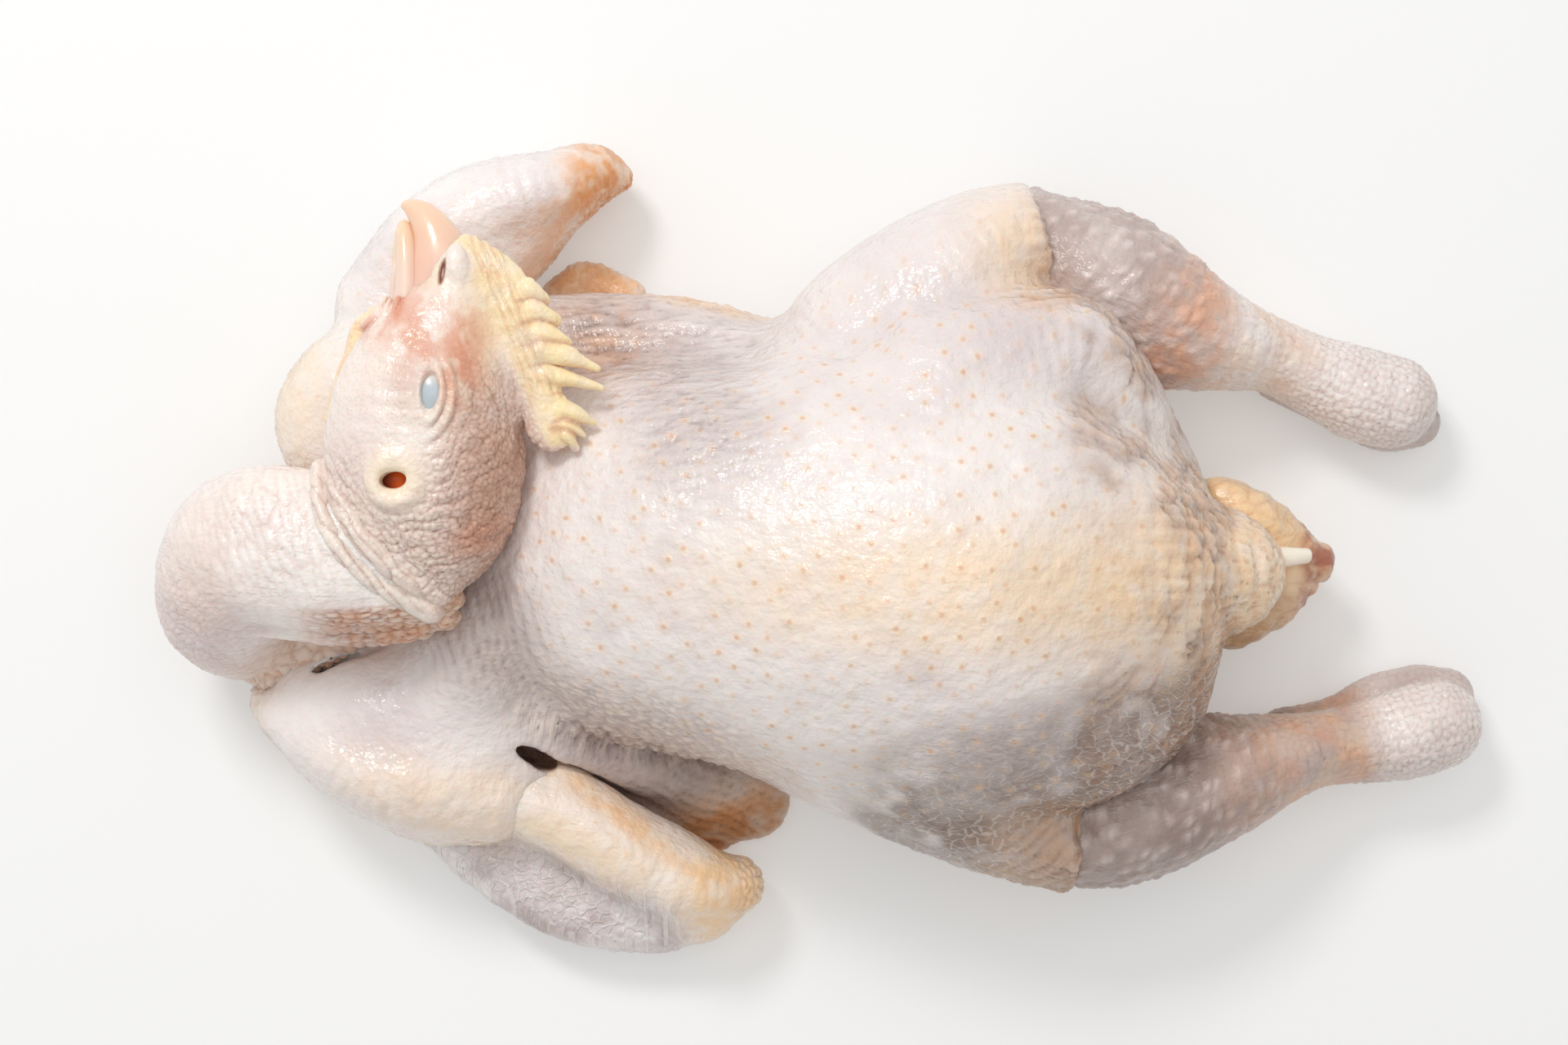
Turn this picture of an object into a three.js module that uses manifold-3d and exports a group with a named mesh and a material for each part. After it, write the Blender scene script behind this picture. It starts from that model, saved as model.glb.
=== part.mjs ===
// Whole raw chicken, plucked, head and neck on, feet taken off at the hocks, lying on its back.
// Millimetres. +X runs from the head end to the tail, +Y to the bird's left side, +Z up from the
// surface it lies on. It is one solid: skin, wings, legs, folded neck, head, comb and beak.
import * as THREE from "three";
import { mergeVertices } from "three/addons/utils/BufferGeometryUtils.js";
import Module from "manifold-3d";

// Skin colour and finish.
const SKIN_COLOUR = 0xe6d0c4;
const SKIN_ROUGHNESS = 0.42;

// Facet sizes, and the sides and the samples of the round pieces.
const BODY_CELL = 6.6;
const HEAD_CELL = 3.9;
const LIMB_SAMPLES = 22;
const HORN_SIDES = 12;
const JOIN_TOLERANCE = 0.03;
const PINCH_FILL = -0.3;

// The trunk's sections along X: x, y of its middle, half width, z of its widest, z of its top.
const TRUNK = [
  [-93, 4, 0, 34, 34],
  [-85, 4, 24, 34, 50],
  [-72, 3, 36, 36, 63],
  [-57, 1, 43, 38, 75],
  [-40, -1, 47, 40, 85],
  [-20, -4, 52, 41, 94],
  [2, -5, 57, 42, 101],
  [22, -6, 58, 43, 104],
  [42, -7, 57, 43, 103],
  [58, -8, 53, 42, 99],
  [74, -9, 44, 41, 90],
  [88, -9, 31, 40, 76],
  [97, -8, 20, 40, 64],
  [104, -7, 0, 40, 40],
];
const BACK_UNDER = 7;
const BACK_TAPER = 1.6;
const TRUNK_SHELL = { centre: [5, -4, 42], radii: [103, 68, 70], turn: 0 };

// Limbs and rolls of skin: x, y, z, half width and half height at each station.
const LEFT_SIDE = [
  [-74, 50, 22, 14, 14],
  [-51, 51, 22, 14, 14],
  [-31, 50, 24, 13, 15],
  [-14, 45, 26, 12, 17],
];
const RIGHT_SIDE = [
  [-76, -34, 24, 12, 16],
  [-55, -33, 26, 14, 18],
  [-35, -36, 28, 14, 20],
  [-16, -39, 30, 14, 22],
];
const RIGHT_SKIRT = [
  [-84, -50, 4, 12, 10],
  [-66, -55, 3, 12, 10],
  [-50, -57, 4, 13, 11],
  [-34, -58, 8, 13, 12],
  [-18, -67, 7, 12, 10],
];
const LEFT_THIGH = [
  [-4, 42, 36, 14, 26],
  [14, 55, 36, 20.5, 28],
  [32, 67, 34, 20, 30],
  [45, 76, 30, 14.5, 27],
];
const RIGHT_THIGH = [
  [-10, -38, 35, 17, 24],
  [10, -48, 36, 19, 28],
  [31, -59, 34, 18, 30],
  [47, -67, 30, 14.5, 28],
  [57, -72, 28, 11, 24],
];
const LEFT_HIP = [
  [28, 37, 50, 25, 34],
  [46, 44, 46, 21, 32],
  [59, 45, 42, 17.5, 30],
  [68, 35, 38, 16, 27],
  [78, 21, 32, 14, 22],
];
const RIGHT_HIP = [
  [28, -41, 48, 24, 36],
  [50, -43, 45, 20, 34],
  [65, -44, 42, 18, 31],
  [78, -36, 36, 16, 26],
  [85, -25, 30, 12, 18],
];
const LEFT_LEG = [
  [52, 76, 24, 15, 22],
  [64, 70, 25, 18, 25],
  [77, 64, 25, 18.5, 25.5],
  [89, 57, 23, 16, 23],
  [102, 53, 20, 12.5, 18],
  [114, 50, 17, 9.5, 13],
  [126, 45, 15, 10, 12],
  [138, 40, 14, 11.8, 13],
  [145.5, 38, 13.5, 11.8, 12.5],
];
const RIGHT_LEG = [
  [58, -69, 25, 14, 23],
  [68, -67, 26, 18, 26],
  [81, -64, 25, 18, 25.5],
  [98, -58, 23, 16, 23],
  [113, -54, 20, 12, 18],
  [127, -51, 17, 9.5, 13],
  [141, -49, 15, 10.5, 12],
  [153, -46, 14, 12, 13],
  [157.5, -45, 13.5, 11.5, 12.5],
];
const LEFT_HOCK_LOBE = { centre: [137, 33, 8], radii: [17, 7, 9], turn: -20 };
const RIGHT_HOCK_LOBE = { centre: [148, -37, 9], radii: [20, 7, 9], turn: 5 };
const BELLY_END = { centre: [96, -6, 42], radii: [17, 14.5, 15], turn: 0 };
const TAIL = [
  [98, -4, 21, 23, 14],
  [104, -4, 21, 20, 13],
  [113, -4, 21, 13, 10],
  [121, -3, 21, 7, 7],
  [127, -3, 21, 3.5, 4],
];
const STUB = [
  [106, -3, 36, 2.4, 2.6],
  [115, -3, 34, 2, 2.2],
  [121, -3, 32.5, 1.5, 1.7],
];

// Wings: the right one is folded with its forearm along the body, the left one points up and out.
const RIGHT_SHOULDER = { centre: [-101, -43, 26], radii: [38, 20, 18], turn: -12 };
const RIGHT_ARM = [
  [-137, -42, 20, 5, 12],
  [-126, -50, 22, 8, 18],
  [-114, -56, 22, 11.5, 22],
  [-96, -59, 22, 15.5, 22.5],
  [-84, -62, 24, 12, 16],
];
const RIGHT_FOREARM = [
  [-80, -59, 24, 11, 13],
  [-60, -70, 24, 11, 13],
  [-43, -80, 21, 11.5, 13.5],
  [-31, -86, 16, 10.5, 15],
  [-23, -86, 14, 7.5, 11],
];
const RIGHT_HAND = [
  [-98, -73, 9, 7, 10],
  [-82, -81, 10, 12.5, 11],
  [-60, -89, 10, 13.5, 11],
  [-44, -92, 10, 12, 11],
  [-33, -92, 10, 9.5, 11],
];
const LEFT_SHOULDER = { centre: [-111, 35, 26], radii: [28, 24, 21], turn: 20 };
const LEFT_ARM = [
  [-113, 64, 20, 9.5, 14],
  [-104, 74, 21, 11.5, 19],
  [-86, 85, 22, 13, 19.5],
  [-68, 92, 19, 11.5, 19],
  [-57, 97, 15, 8, 15],
  [-52, 97, 13, 4, 7],
];
const LEFT_WEB = [
  [-105, 55, 22, 18, 18],
  [-89, 69, 22, 13, 15],
  [-76, 79, 20, 9, 12],
];
const LEFT_FLAP = { centre: [-70, 67, 8], radii: [14, 8, 8], turn: -15 };

// The neck leaves the breast low, turns back over itself and carries the head on its side.
const NECK = [
  [-92, -8, 32, 17, 22],
  [-115, -13, 24, 16, 21],
  [-137, -16, 20, 17, 20],
  [-146, -14, 26, 19, 20],
  [-146, -6, 42, 19.5, 19],
  [-139, 1, 54, 19.5, 16],
  [-124, 1, 60, 19, 15],
  [-108, 1, 62, 17, 14],
  [-97, 2, 61, 15, 13],
];
const HEAD = [
  [-97, -1, 60, 11, 12],
  [-95, 8, 62, 18, 16],
  [-96, 20, 65, 23.5, 18],
  [-96, 33, 66, 22.5, 18],
  [-94, 48, 66, 16, 15],
  [-92, 58, 66, 12, 12],
  [-92, 66, 66, 9, 9],
];
const EYE = { centre: [-92, 38, 79], radii: [8, 10, 6], turn: 10 };
const UPPER_BEAK = [
  [-90, 63, 66, 7.6, 7.4],
  [-91.8, 70, 66.3, 7, 6.6],
  [-94.5, 75.5, 66.3, 5.6, 5.2],
  [-98, 80.5, 65.8, 3.4, 3.6],
  [-101, 83, 65, 1.3, 1.6],
];
const LOWER_BEAK = [
  [-102, 57, 64.5, 3.2, 6],
  [-101.6, 65, 65, 3, 5.2],
  [-101.6, 72, 65, 2.4, 4],
  [-101.8, 78, 65, 1.2, 1.8],
];

// Comb: a fleshy plate along the crown. Each tooth is its tip's x and y, and the cut after it.
const COMB_LEVEL = 67.5;
const COMB_THICK = 4.6;
const COMB_ROOT = [
  [-76, 27],
  [-77, 38],
  [-81, 47],
  [-87, 58],
  [-89, 70],
];
const COMB_FRONT = [
  [-85.9, 73.2],
  [-80.1, 72.2],
  [-76.2, 69.3],
  [-72.3, 65.4],
  [-69.4, 60.5],
];
const COMB_TEETH = [
  [-67, 59.4, 2.3],
  [-64, 54.5, 6.2],
  [-61.2, 48.9, 7.3],
  [-54.8, 43.8, 9.5],
  [-53.8, 39.1, 5.8],
  [-55.4, 30.8, 3.8],
  [-58.5, 27.5, 1.6],
  [-62.6, 24.7, 0],
];
const COMB_HEART = [-86, 48];
const TOOTH_TIP = 0.9;

// Beyond this distance a limb no longer matters to the skin.
const FAR = 60;
const REACH = 25;
const TRUNK_SAMPLES = 400;

// Slopes at the stations of a smooth curve, by finite differences over uneven steps.
function slopes(at, values) {
  const last = at.length - 1;
  return values.map((value, i) => {
    const before = Math.max(i - 1, 0);
    const after = Math.min(i + 1, last);
    if (before === i || after === i) {
      return (values[after] - values[before]) / (at[after] - at[before]);
    }
    const stepBack = at[i] - at[before];
    const stepOn = at[after] - at[i];
    const back = (value - values[before]) / stepBack;
    const on = (values[after] - value) / stepOn;
    return (on * stepBack + back * stepOn) / (stepBack + stepOn);
  });
}

// Value at t of the cubic curve that passes through every station.
function through(at, values, slope, t) {
  let i = 0;
  while (i < at.length - 2 && t > at[i + 1]) i += 1;
  const step = at[i + 1] - at[i];
  const u = Math.min(Math.max((t - at[i]) / step, 0), 1);
  const u2 = u * u;
  const u3 = u2 * u;
  return (
    (2 * u3 - 3 * u2 + 1) * values[i] +
    (u3 - 2 * u2 + u) * step * slope[i] +
    (3 * u2 - 2 * u3) * values[i + 1] +
    (u3 - u2) * step * slope[i + 1]
  );
}

// A path of stations sampled evenly along its length.
function sampled(stations, count) {
  const at = [0];
  for (let i = 1; i < stations.length; i += 1) {
    const [x, y, z] = stations[i];
    const [px, py, pz] = stations[i - 1];
    at.push(at[i - 1] + Math.hypot(x - px, y - py, z - pz));
  }
  const length = at[at.length - 1];
  const columns = stations[0].map((_, c) => stations.map((s) => s[c]));
  const slope = columns.map((values) => slopes(at, values));
  return Array.from({ length: count }, (_, k) => {
    const t = (length * k) / (count - 1);
    return columns.map((values, c) => through(at, values, slope[c], t));
  });
}

// Distance to one tapered stretch of a limb, whose height and width differ by a ratio.
function stretchDistance(p, a, b) {
  const ratio = (a[3] + b[3]) / (a[4] + b[4]);
  const from = [p[0] - a[0], p[1] - a[1], (p[2] - a[2]) * ratio];
  const axis = [b[0] - a[0], b[1] - a[1], (b[2] - a[2]) * ratio];
  const along = from[0] * axis[0] + from[1] * axis[1] + from[2] * axis[2];
  const length2 = axis[0] ** 2 + axis[1] ** 2 + axis[2] ** 2;
  const t = Math.min(Math.max(along / length2, 0), 1);
  const v = from.map((c, i) => c - t * axis[i]);
  const away = Math.hypot(...v) + 1e-6;
  const stretch = Math.hypot(v[0] / away, v[1] / away, (ratio * v[2]) / away, 0.01);
  return (away - (a[3] + t * (b[3] - a[3]))) / stretch;
}

// Distance function of a limb: a chain of tapered stretches along its path.
function limb(stations) {
  const samples = sampled(stations, LIMB_SAMPLES);
  const widest = Math.max(...samples.map((s) => Math.max(s[3], s[4]))) + REACH;
  const axes = [0, 1, 2];
  const low = axes.map((c) => Math.min(...samples.map((s) => s[c])) - widest);
  const high = axes.map((c) => Math.max(...samples.map((s) => s[c])) + widest);
  return (p) => {
    if (axes.some((c) => p[c] < low[c] || p[c] > high[c])) return FAR;
    let nearest = FAR;
    for (let i = 1; i < samples.length; i += 1) {
      nearest = Math.min(nearest, stretchDistance(p, samples[i - 1], samples[i]));
    }
    return nearest;
  };
}

// Distance function of an egg-shaped lobe, turned about the vertical.
function lobe({ centre, radii, turn }) {
  const angle = THREE.MathUtils.degToRad(turn);
  const c = Math.cos(angle);
  const s = Math.sin(angle);
  return (p) => {
    const dx = p[0] - centre[0];
    const dy = p[1] - centre[1];
    const q = [dx * c + dy * s, dy * c - dx * s, p[2] - centre[2]];
    const k0 = Math.hypot(q[0] / radii[0], q[1] / radii[1], q[2] / radii[2]);
    const k1 = Math.hypot(q[0] / radii[0] ** 2, q[1] / radii[1] ** 2, q[2] / radii[2] ** 2);
    return (k0 * (k0 - 1)) / (k1 + 1e-9);
  };
}

// Distance function of the trunk: oval sections that change along X, rounded off at both ends.
function trunk() {
  const at = TRUNK.map((row) => row[0]);
  const first = at[0];
  const last = at[at.length - 1];
  const step = (last - first) / (TRUNK_SAMPLES - 1);
  const column = (of) => {
    const values = TRUNK.map(of);
    const slope = slopes(at, values);
    const sample = (_, i) => through(at, values, slope, first + i * step);
    return Array.from({ length: TRUNK_SAMPLES }, sample);
  };
  const atLeastOne = (values) => values.map((v) => Math.max(v, 1));
  const middle = column((row) => row[1]);
  const width2 = atLeastOne(column((row) => row[2] ** 2));
  const level = column((row) => row[3]);
  const rise2 = atLeastOne(column((row) => (row[4] - row[3]) ** 2));
  const depth2 = width2.map((v, i) => Math.min((level[i] + BACK_UNDER) ** 2, v * BACK_TAPER));
  const value = (values, i, f) => values[i] + f * (values[i + 1] - values[i]);
  const change = (values, i) => (values[i + 1] - values[i]) / step;
  const shell = lobe(TRUNK_SHELL);
  return (p) => {
    const t = Math.min(Math.max((p[0] - first) / step, 0), TRUNK_SAMPLES - 1.001);
    const i = Math.floor(t);
    const f = t - i;
    const y = p[1] - value(middle, i, f);
    const z = p[2] - value(level, i, f);
    const heights = z > 0 ? rise2 : depth2;
    const a = value(width2, i, f);
    const b = value(heights, i, f);
    const root = Math.sqrt((y * y) / a + (z * z) / b);
    const endwise =
      (2 * y * change(middle, i)) / a +
      (y * y * change(width2, i)) / a ** 2 +
      (2 * z * change(level, i)) / b +
      (z * z * change(heights, i)) / b ** 2;
    const gradient = Math.hypot(endwise, (2 * y) / a, (2 * z) / b) / (2 * root + 1e-6);
    const skin = (root - 1) / Math.max(gradient, 1 / FAR);
    return Math.max(skin, first - p[0], p[0] - last, shell(p));
  };
}

// Joins two distances with a rounded valley about the given width.
function melt(a, b, width) {
  const h = Math.min(Math.max(0.5 + (0.5 * (b - a)) / width, 0), 1);
  return b * (1 - h) + a * h - width * h * (1 - h);
}

const trunkForm = trunk();
const leftSide = limb(LEFT_SIDE);
const rightSide = limb(RIGHT_SIDE);
const rightSkirt = limb(RIGHT_SKIRT);
const leftThigh = limb(LEFT_THIGH);
const rightThigh = limb(RIGHT_THIGH);
const leftHip = limb(LEFT_HIP);
const rightHip = limb(RIGHT_HIP);
const leftLeg = limb(LEFT_LEG);
const rightLeg = limb(RIGHT_LEG);
const leftHockLobe = lobe(LEFT_HOCK_LOBE);
const rightHockLobe = lobe(RIGHT_HOCK_LOBE);
const bellyEnd = lobe(BELLY_END);
const tail = limb(TAIL);
const rightShoulder = lobe(RIGHT_SHOULDER);
const rightArm = limb(RIGHT_ARM);
const rightForearm = limb(RIGHT_FOREARM);
const rightHand = limb(RIGHT_HAND);
const leftShoulder = lobe(LEFT_SHOULDER);
const leftArm = limb(LEFT_ARM);
const leftWeb = limb(LEFT_WEB);
const leftFlap = lobe(LEFT_FLAP);
const neck = limb(NECK);
const skull = limb(HEAD);
const eye = lobe(EYE);

// Distance to the skin of the whole body without its head.
function bodyDistance(p) {
  let d = melt(trunkForm(p), leftSide(p), 6);
  d = melt(d, rightSide(p), 6);
  d = melt(d, rightSkirt(p), 6);
  d = melt(d, leftHip(p), 8);
  d = melt(d, rightHip(p), 8);
  d = melt(d, leftThigh(p), 7);
  d = melt(d, rightThigh(p), 7);
  d = melt(d, bellyEnd(p), 7);
  d = melt(d, tail(p), 3);
  d = melt(d, melt(leftLeg(p), leftHockLobe(p), 3), 2);
  d = melt(d, melt(rightLeg(p), rightHockLobe(p), 3), 2);
  d = melt(d, leftShoulder(p), 8);
  d = melt(d, melt(rightShoulder(p), rightArm(p), 8), 10);
  d = melt(d, melt(rightForearm(p), rightHand(p), 7), 2.5);
  d = melt(d, melt(leftArm(p), leftWeb(p), 8), 4);
  d = melt(d, leftFlap(p), 4);
  return melt(d, neck(p), 3);
}

// Distance to the skin of the head.
function headDistance(p) {
  return melt(skull(p), eye(p), 4);
}

// Corners of a cell are numbered by their bits, and its edges by axis and by their place round it.
const CORNER_COUNT = 8;
const bit = (corner, axis) => (corner >> axis) & 1;
const EDGES = [0, 1, 2].flatMap((axis) =>
  [0, 1, 2, 3].map((place) => {
    const u = (axis + 1) % 3;
    const v = (axis + 2) % 3;
    const corner = ((place & 1) << u) | ((place >> 1) << v);
    return { axis, corner, other: corner | (1 << axis) };
  }),
);
const FACES = [0, 1, 2].flatMap((axis) =>
  [0, 1].map((side) => {
    const u = 1 << ((axis + 1) % 3);
    const v = 1 << ((axis + 2) % 3);
    const base = side << axis;
    return [base, base | u, base | u | v, base | v];
  }),
);
const edgeBetween = (a, b) =>
  EDGES.findIndex((e) => (e.corner === a && e.other === b) || (e.corner === b && e.other === a));

// For a cell whose inside corners are given by a mask: which sheet of skin crosses each edge.
function sheetsOf(inside) {
  const within = (corner) => (inside >> corner) & 1;
  const sheet = EDGES.map((e, i) => (within(e.corner) === within(e.other) ? -1 : i));
  for (const face of FACES) {
    const around = face.map((corner, i) => edgeBetween(corner, face[(i + 1) % 4]));
    const [one, another] = around.filter((e) => sheet[e] >= 0);
    if (one === undefined) continue;
    const [from, to] = [sheet[one], sheet[another]];
    sheet.forEach((s, i) => {
      if (s === from) sheet[i] = to;
    });
  }
  const names = [...new Set(sheet.filter((s) => s >= 0))];
  return { count: names.length, of: sheet.map((s) => names.indexOf(s)) };
}

// Fills each grid face whose inside corners only meet across a diagonal, so that no skin pinches.
function closePinches(field, size) {
  const stride = [1, size[0], size[0] * size[1]];
  let found = true;
  while (found) {
    found = false;
    for (let n = 0; n < field.length - stride[2] - stride[1]; n += 1)
      for (let axis = 0; axis < 3; axis += 1) {
        const u = stride[(axis + 1) % 3];
        const v = stride[(axis + 2) % 3];
        const corners = [n, n + u, n + u + v, n + v];
        const [a, b, c, d] = corners.map((corner) => field[corner] < 0);
        if (a !== c || b !== d || a === b) continue;
        const outside = corners.filter((corner) => field[corner] >= 0);
        const nearest = outside.reduce((x, y) => (field[x] < field[y] ? x : y));
        field[nearest] = PINCH_FILL;
        found = true;
      }
  }
}

// Moves a point onto the skin, keeping it inside its own cell.
function settle(p, low, cell, distance) {
  const h = cell * 0.02;
  const d = distance(p);
  const slope = [0, 1, 2].map((c) => {
    const q = p.slice();
    q[c] += h;
    return (distance(q) - d) / h;
  });
  const steep = slope[0] ** 2 + slope[1] ** 2 + slope[2] ** 2 + 1e-6;
  return p.map((value, c) => {
    const margin = cell * 0.05;
    const moved = value - (d * slope[c]) / steep;
    return Math.min(Math.max(moved, low[c] + margin), low[c] + cell - margin);
  });
}

// Closed triangle mesh of the surface where a distance function is zero, over a grid of cells.
function skinMesh(distance, low, high, cell) {
  const size = low.map((value, c) => Math.ceil((high[c] - value) / cell) + 1);
  const nodeIndex = (i, j, k) => i + size[0] * (j + size[1] * k);
  const place = (i, j, k) => [low[0] + i * cell, low[1] + j * cell, low[2] + k * cell];
  const field = new Float64Array(size[0] * size[1] * size[2]);
  for (let k = 0; k < size[2]; k += 1)
    for (let j = 0; j < size[1]; j += 1)
      for (let i = 0; i < size[0]; i += 1) field[nodeIndex(i, j, k)] = distance(place(i, j, k));

  closePinches(field, size);

  const points = [];
  const cells = new Map();
  const known = new Map();
  for (let k = 0; k < size[2] - 1; k += 1)
    for (let j = 0; j < size[1] - 1; j += 1)
      for (let i = 0; i < size[0] - 1; i += 1) {
        const at = (corner) =>
          field[nodeIndex(i + bit(corner, 0), j + bit(corner, 1), k + bit(corner, 2))];
        let inside = 0;
        for (let corner = 0; corner < CORNER_COUNT; corner += 1) {
          if (at(corner) < 0) inside |= 1 << corner;
        }
        if (inside === 0 || inside === 255) continue;
        if (!known.has(inside)) known.set(inside, sheetsOf(inside));
        const sheets = known.get(inside);
        const corner0 = place(i, j, k);
        const first = points.length;
        for (let s = 0; s < sheets.count; s += 1) {
          const crossed = EDGES.filter((_, e) => sheets.of[e] === s);
          const mean = [0, 0, 0];
          for (const edge of crossed) {
            const da = at(edge.corner);
            const t = da / (da - at(edge.other));
            for (let c = 0; c < 3; c += 1) {
              const along = bit(edge.corner, c) + (c === edge.axis ? t : 0);
              mean[c] += (corner0[c] + along * cell) / crossed.length;
            }
          }
          points.push(settle(mean, corner0, cell, distance));
        }
        cells.set(nodeIndex(i, j, k), sheets.of.map((s) => first + s));
      }

  const triangles = [];
  const gap = (a, b) =>
    Math.hypot(...[0, 1, 2].map((c) => points[a][c] - points[b][c]));
  for (let k = 1; k < size[2] - 1; k += 1)
    for (let j = 1; j < size[1] - 1; j += 1)
      for (let i = 1; i < size[0] - 1; i += 1) {
        const here = [i, j, k];
        const inside = field[nodeIndex(i, j, k)] < 0;
        for (let axis = 0; axis < 3; axis += 1) {
          const next = here.slice();
          next[axis] += 1;
          if (field[nodeIndex(...next)] < 0 === inside) continue;
          const u = (axis + 1) % 3;
          const v = (axis + 2) % 3;
          const corners = [[1, 1], [0, 1], [0, 0], [1, 0]].map(([du, dv]) => {
            const cellAt = here.slice();
            cellAt[u] -= du;
            cellAt[v] -= dv;
            return cells.get(nodeIndex(...cellAt))[axis * 4 + du + 2 * dv];
          });
          if (!inside) corners.reverse();
          const [a, b, c, d] = corners;
          if (gap(a, c) < gap(b, d)) triangles.push(a, b, c, a, c, d);
          else triangles.push(a, b, d, b, c, d);
        }
      }
  return { points: points.flat(), triangles };
}

const wasm = await Module();
wasm.setup();

// A solid from loose points and triangles.
function solidFrom({ points, triangles }) {
  return new wasm.Manifold(
    new wasm.Mesh({
      numProp: 3,
      vertProperties: new Float32Array(points),
      triVerts: new Uint32Array(triangles),
      tolerance: JOIN_TOLERANCE,
    }),
  );
}

// A solid from a three.js geometry, with its shared corners merged.
function solidOf(geometry) {
  const bare = geometry.clone();
  bare.deleteAttribute("normal");
  bare.deleteAttribute("uv");
  const merged = mergeVertices(bare, 1e-4);
  return solidFrom({ points: merged.attributes.position.array, triangles: merged.index.array });
}

// A closed horn: oval rings along a path, each square to it, with a point past either end.
function horn(stations) {
  const points = [];
  const rings = stations.length;
  stations.forEach(([x, y, z, halfWidth, halfHeight], i) => {
    const [ax, ay] = stations[Math.max(i - 1, 0)];
    const [bx, by] = stations[Math.min(i + 1, rings - 1)];
    const length = Math.hypot(bx - ax, by - ay);
    const across = [(by - ay) / length, (ax - bx) / length];
    for (let k = 0; k < HORN_SIDES; k += 1) {
      const angle = (2 * Math.PI * k) / HORN_SIDES;
      const w = halfWidth * Math.cos(angle);
      points.push(x + across[0] * w, y + across[1] * w, z + halfHeight * Math.sin(angle));
    }
  });
  const tipPast = (end, before) => {
    const [ex, ey, ez, ew] = stations[end];
    const [bx, by, bz] = stations[before];
    const length = Math.hypot(ex - bx, ey - by, ez - bz);
    return [ex + ((ex - bx) / length) * ew, ey + ((ey - by) / length) * ew, ez + ((ez - bz) / length) * ew];
  };
  points.push(...tipPast(0, 1), ...tipPast(rings - 1, rings - 2));
  const startTip = rings * HORN_SIDES;
  const triangles = [];
  for (let k = 0; k < HORN_SIDES; k += 1) {
    const next = (k + 1) % HORN_SIDES;
    for (let i = 0; i < rings - 1; i += 1) {
      const a = i * HORN_SIDES + k;
      const b = i * HORN_SIDES + next;
      triangles.push(b, a, a + HORN_SIDES, b, a + HORN_SIDES, b + HORN_SIDES);
    }
    triangles.push(startTip, k, next);
    const lastRing = (rings - 1) * HORN_SIDES;
    triangles.push(startTip + 1, lastRing + next, lastRing + k);
  }
  return solidFrom({ points, triangles });
}

// The comb's plate: root inside the crown, front edge, then a tooth and a cut for each tip.
function comb() {
  const outline = [...COMB_ROOT, ...COMB_FRONT].map(([x, y]) => new THREE.Vector2(x, y));
  const heart = new THREE.Vector2(...COMB_HEART);
  COMB_TEETH.forEach(([x, y, cut], i) => {
    const tip = new THREE.Vector2(x, y);
    const side = tip.clone().sub(heart).normalize().rotateAround(new THREE.Vector2(), Math.PI / 2);
    outline.push(tip.clone().addScaledVector(side, TOOTH_TIP));
    outline.push(tip.clone().addScaledVector(side, -TOOTH_TIP));
    if (cut === 0) return;
    const following = new THREE.Vector2(COMB_TEETH[i + 1][0], COMB_TEETH[i + 1][1]);
    const notch = tip.clone().lerp(following, 0.5);
    outline.push(notch.addScaledVector(heart.clone().sub(notch).normalize(), cut));
  });
  const plate = new THREE.ExtrudeGeometry(new THREE.Shape(outline), {
    depth: COMB_THICK,
    bevelEnabled: false,
  });
  return solidOf(plate.translate(0, 0, COMB_LEVEL));
}

// Everything under the surface that the bird lies on.
function ground() {
  const deep = 40;
  return solidOf(new THREE.BoxGeometry(500, 400, deep).translate(0, 0, -deep / 2));
}

// The whole bird as one solid.
function carcass() {
  const body = solidFrom(skinMesh(bodyDistance, [-175, -112, -18], [178, 118, 112], BODY_CELL));
  const head = solidFrom(skinMesh(headDistance, [-124, -20, 42], [-66, 82, 92], HEAD_CELL));
  const joined = [head, comb(), horn(UPPER_BEAK), horn(LOWER_BEAK), horn(STUB)].reduce(
    (whole, piece) => whole.add(piece),
    body,
  );
  const { numProp, vertProperties, triVerts } = joined.subtract(ground()).getMesh();
  const geometry = new THREE.BufferGeometry();
  geometry.setAttribute("position", new THREE.BufferAttribute(vertProperties, numProp));
  geometry.setIndex(new THREE.BufferAttribute(triVerts, 1));
  geometry.computeVertexNormals();
  const skin = new THREE.MeshStandardMaterial({
    color: SKIN_COLOUR,
    roughness: SKIN_ROUGHNESS,
    metalness: 0,
  });
  const mesh = new THREE.Mesh(geometry, skin);
  mesh.name = "carcass";
  return mesh;
}

const chicken = new THREE.Group();
chicken.add(carcass());

export default chicken;
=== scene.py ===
import math

import bpy
import numpy as np
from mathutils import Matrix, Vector


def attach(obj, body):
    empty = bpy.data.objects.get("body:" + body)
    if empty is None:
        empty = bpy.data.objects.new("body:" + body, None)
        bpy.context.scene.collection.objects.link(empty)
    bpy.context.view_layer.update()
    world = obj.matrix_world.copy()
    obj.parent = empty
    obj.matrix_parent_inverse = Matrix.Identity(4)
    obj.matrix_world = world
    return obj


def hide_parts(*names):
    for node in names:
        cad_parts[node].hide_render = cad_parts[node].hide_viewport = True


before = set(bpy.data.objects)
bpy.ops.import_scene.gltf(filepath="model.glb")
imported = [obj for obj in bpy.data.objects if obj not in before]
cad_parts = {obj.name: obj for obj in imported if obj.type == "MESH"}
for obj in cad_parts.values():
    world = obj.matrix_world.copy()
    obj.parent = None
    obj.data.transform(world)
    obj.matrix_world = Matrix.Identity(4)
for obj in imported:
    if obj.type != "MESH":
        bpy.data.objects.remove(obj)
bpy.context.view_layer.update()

# Camera, straight above the bird and looking down on it.
lens = bpy.data.cameras.new("camera")
lens.sensor_width = 36.0
lens.lens = 70.3
lens.clip_start = 0.01
camera = bpy.data.objects.new("camera", lens)
camera.location = (-0.010, 0.007, 0.800)
bpy.context.collection.objects.link(camera)
bpy.context.scene.camera = camera

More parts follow.
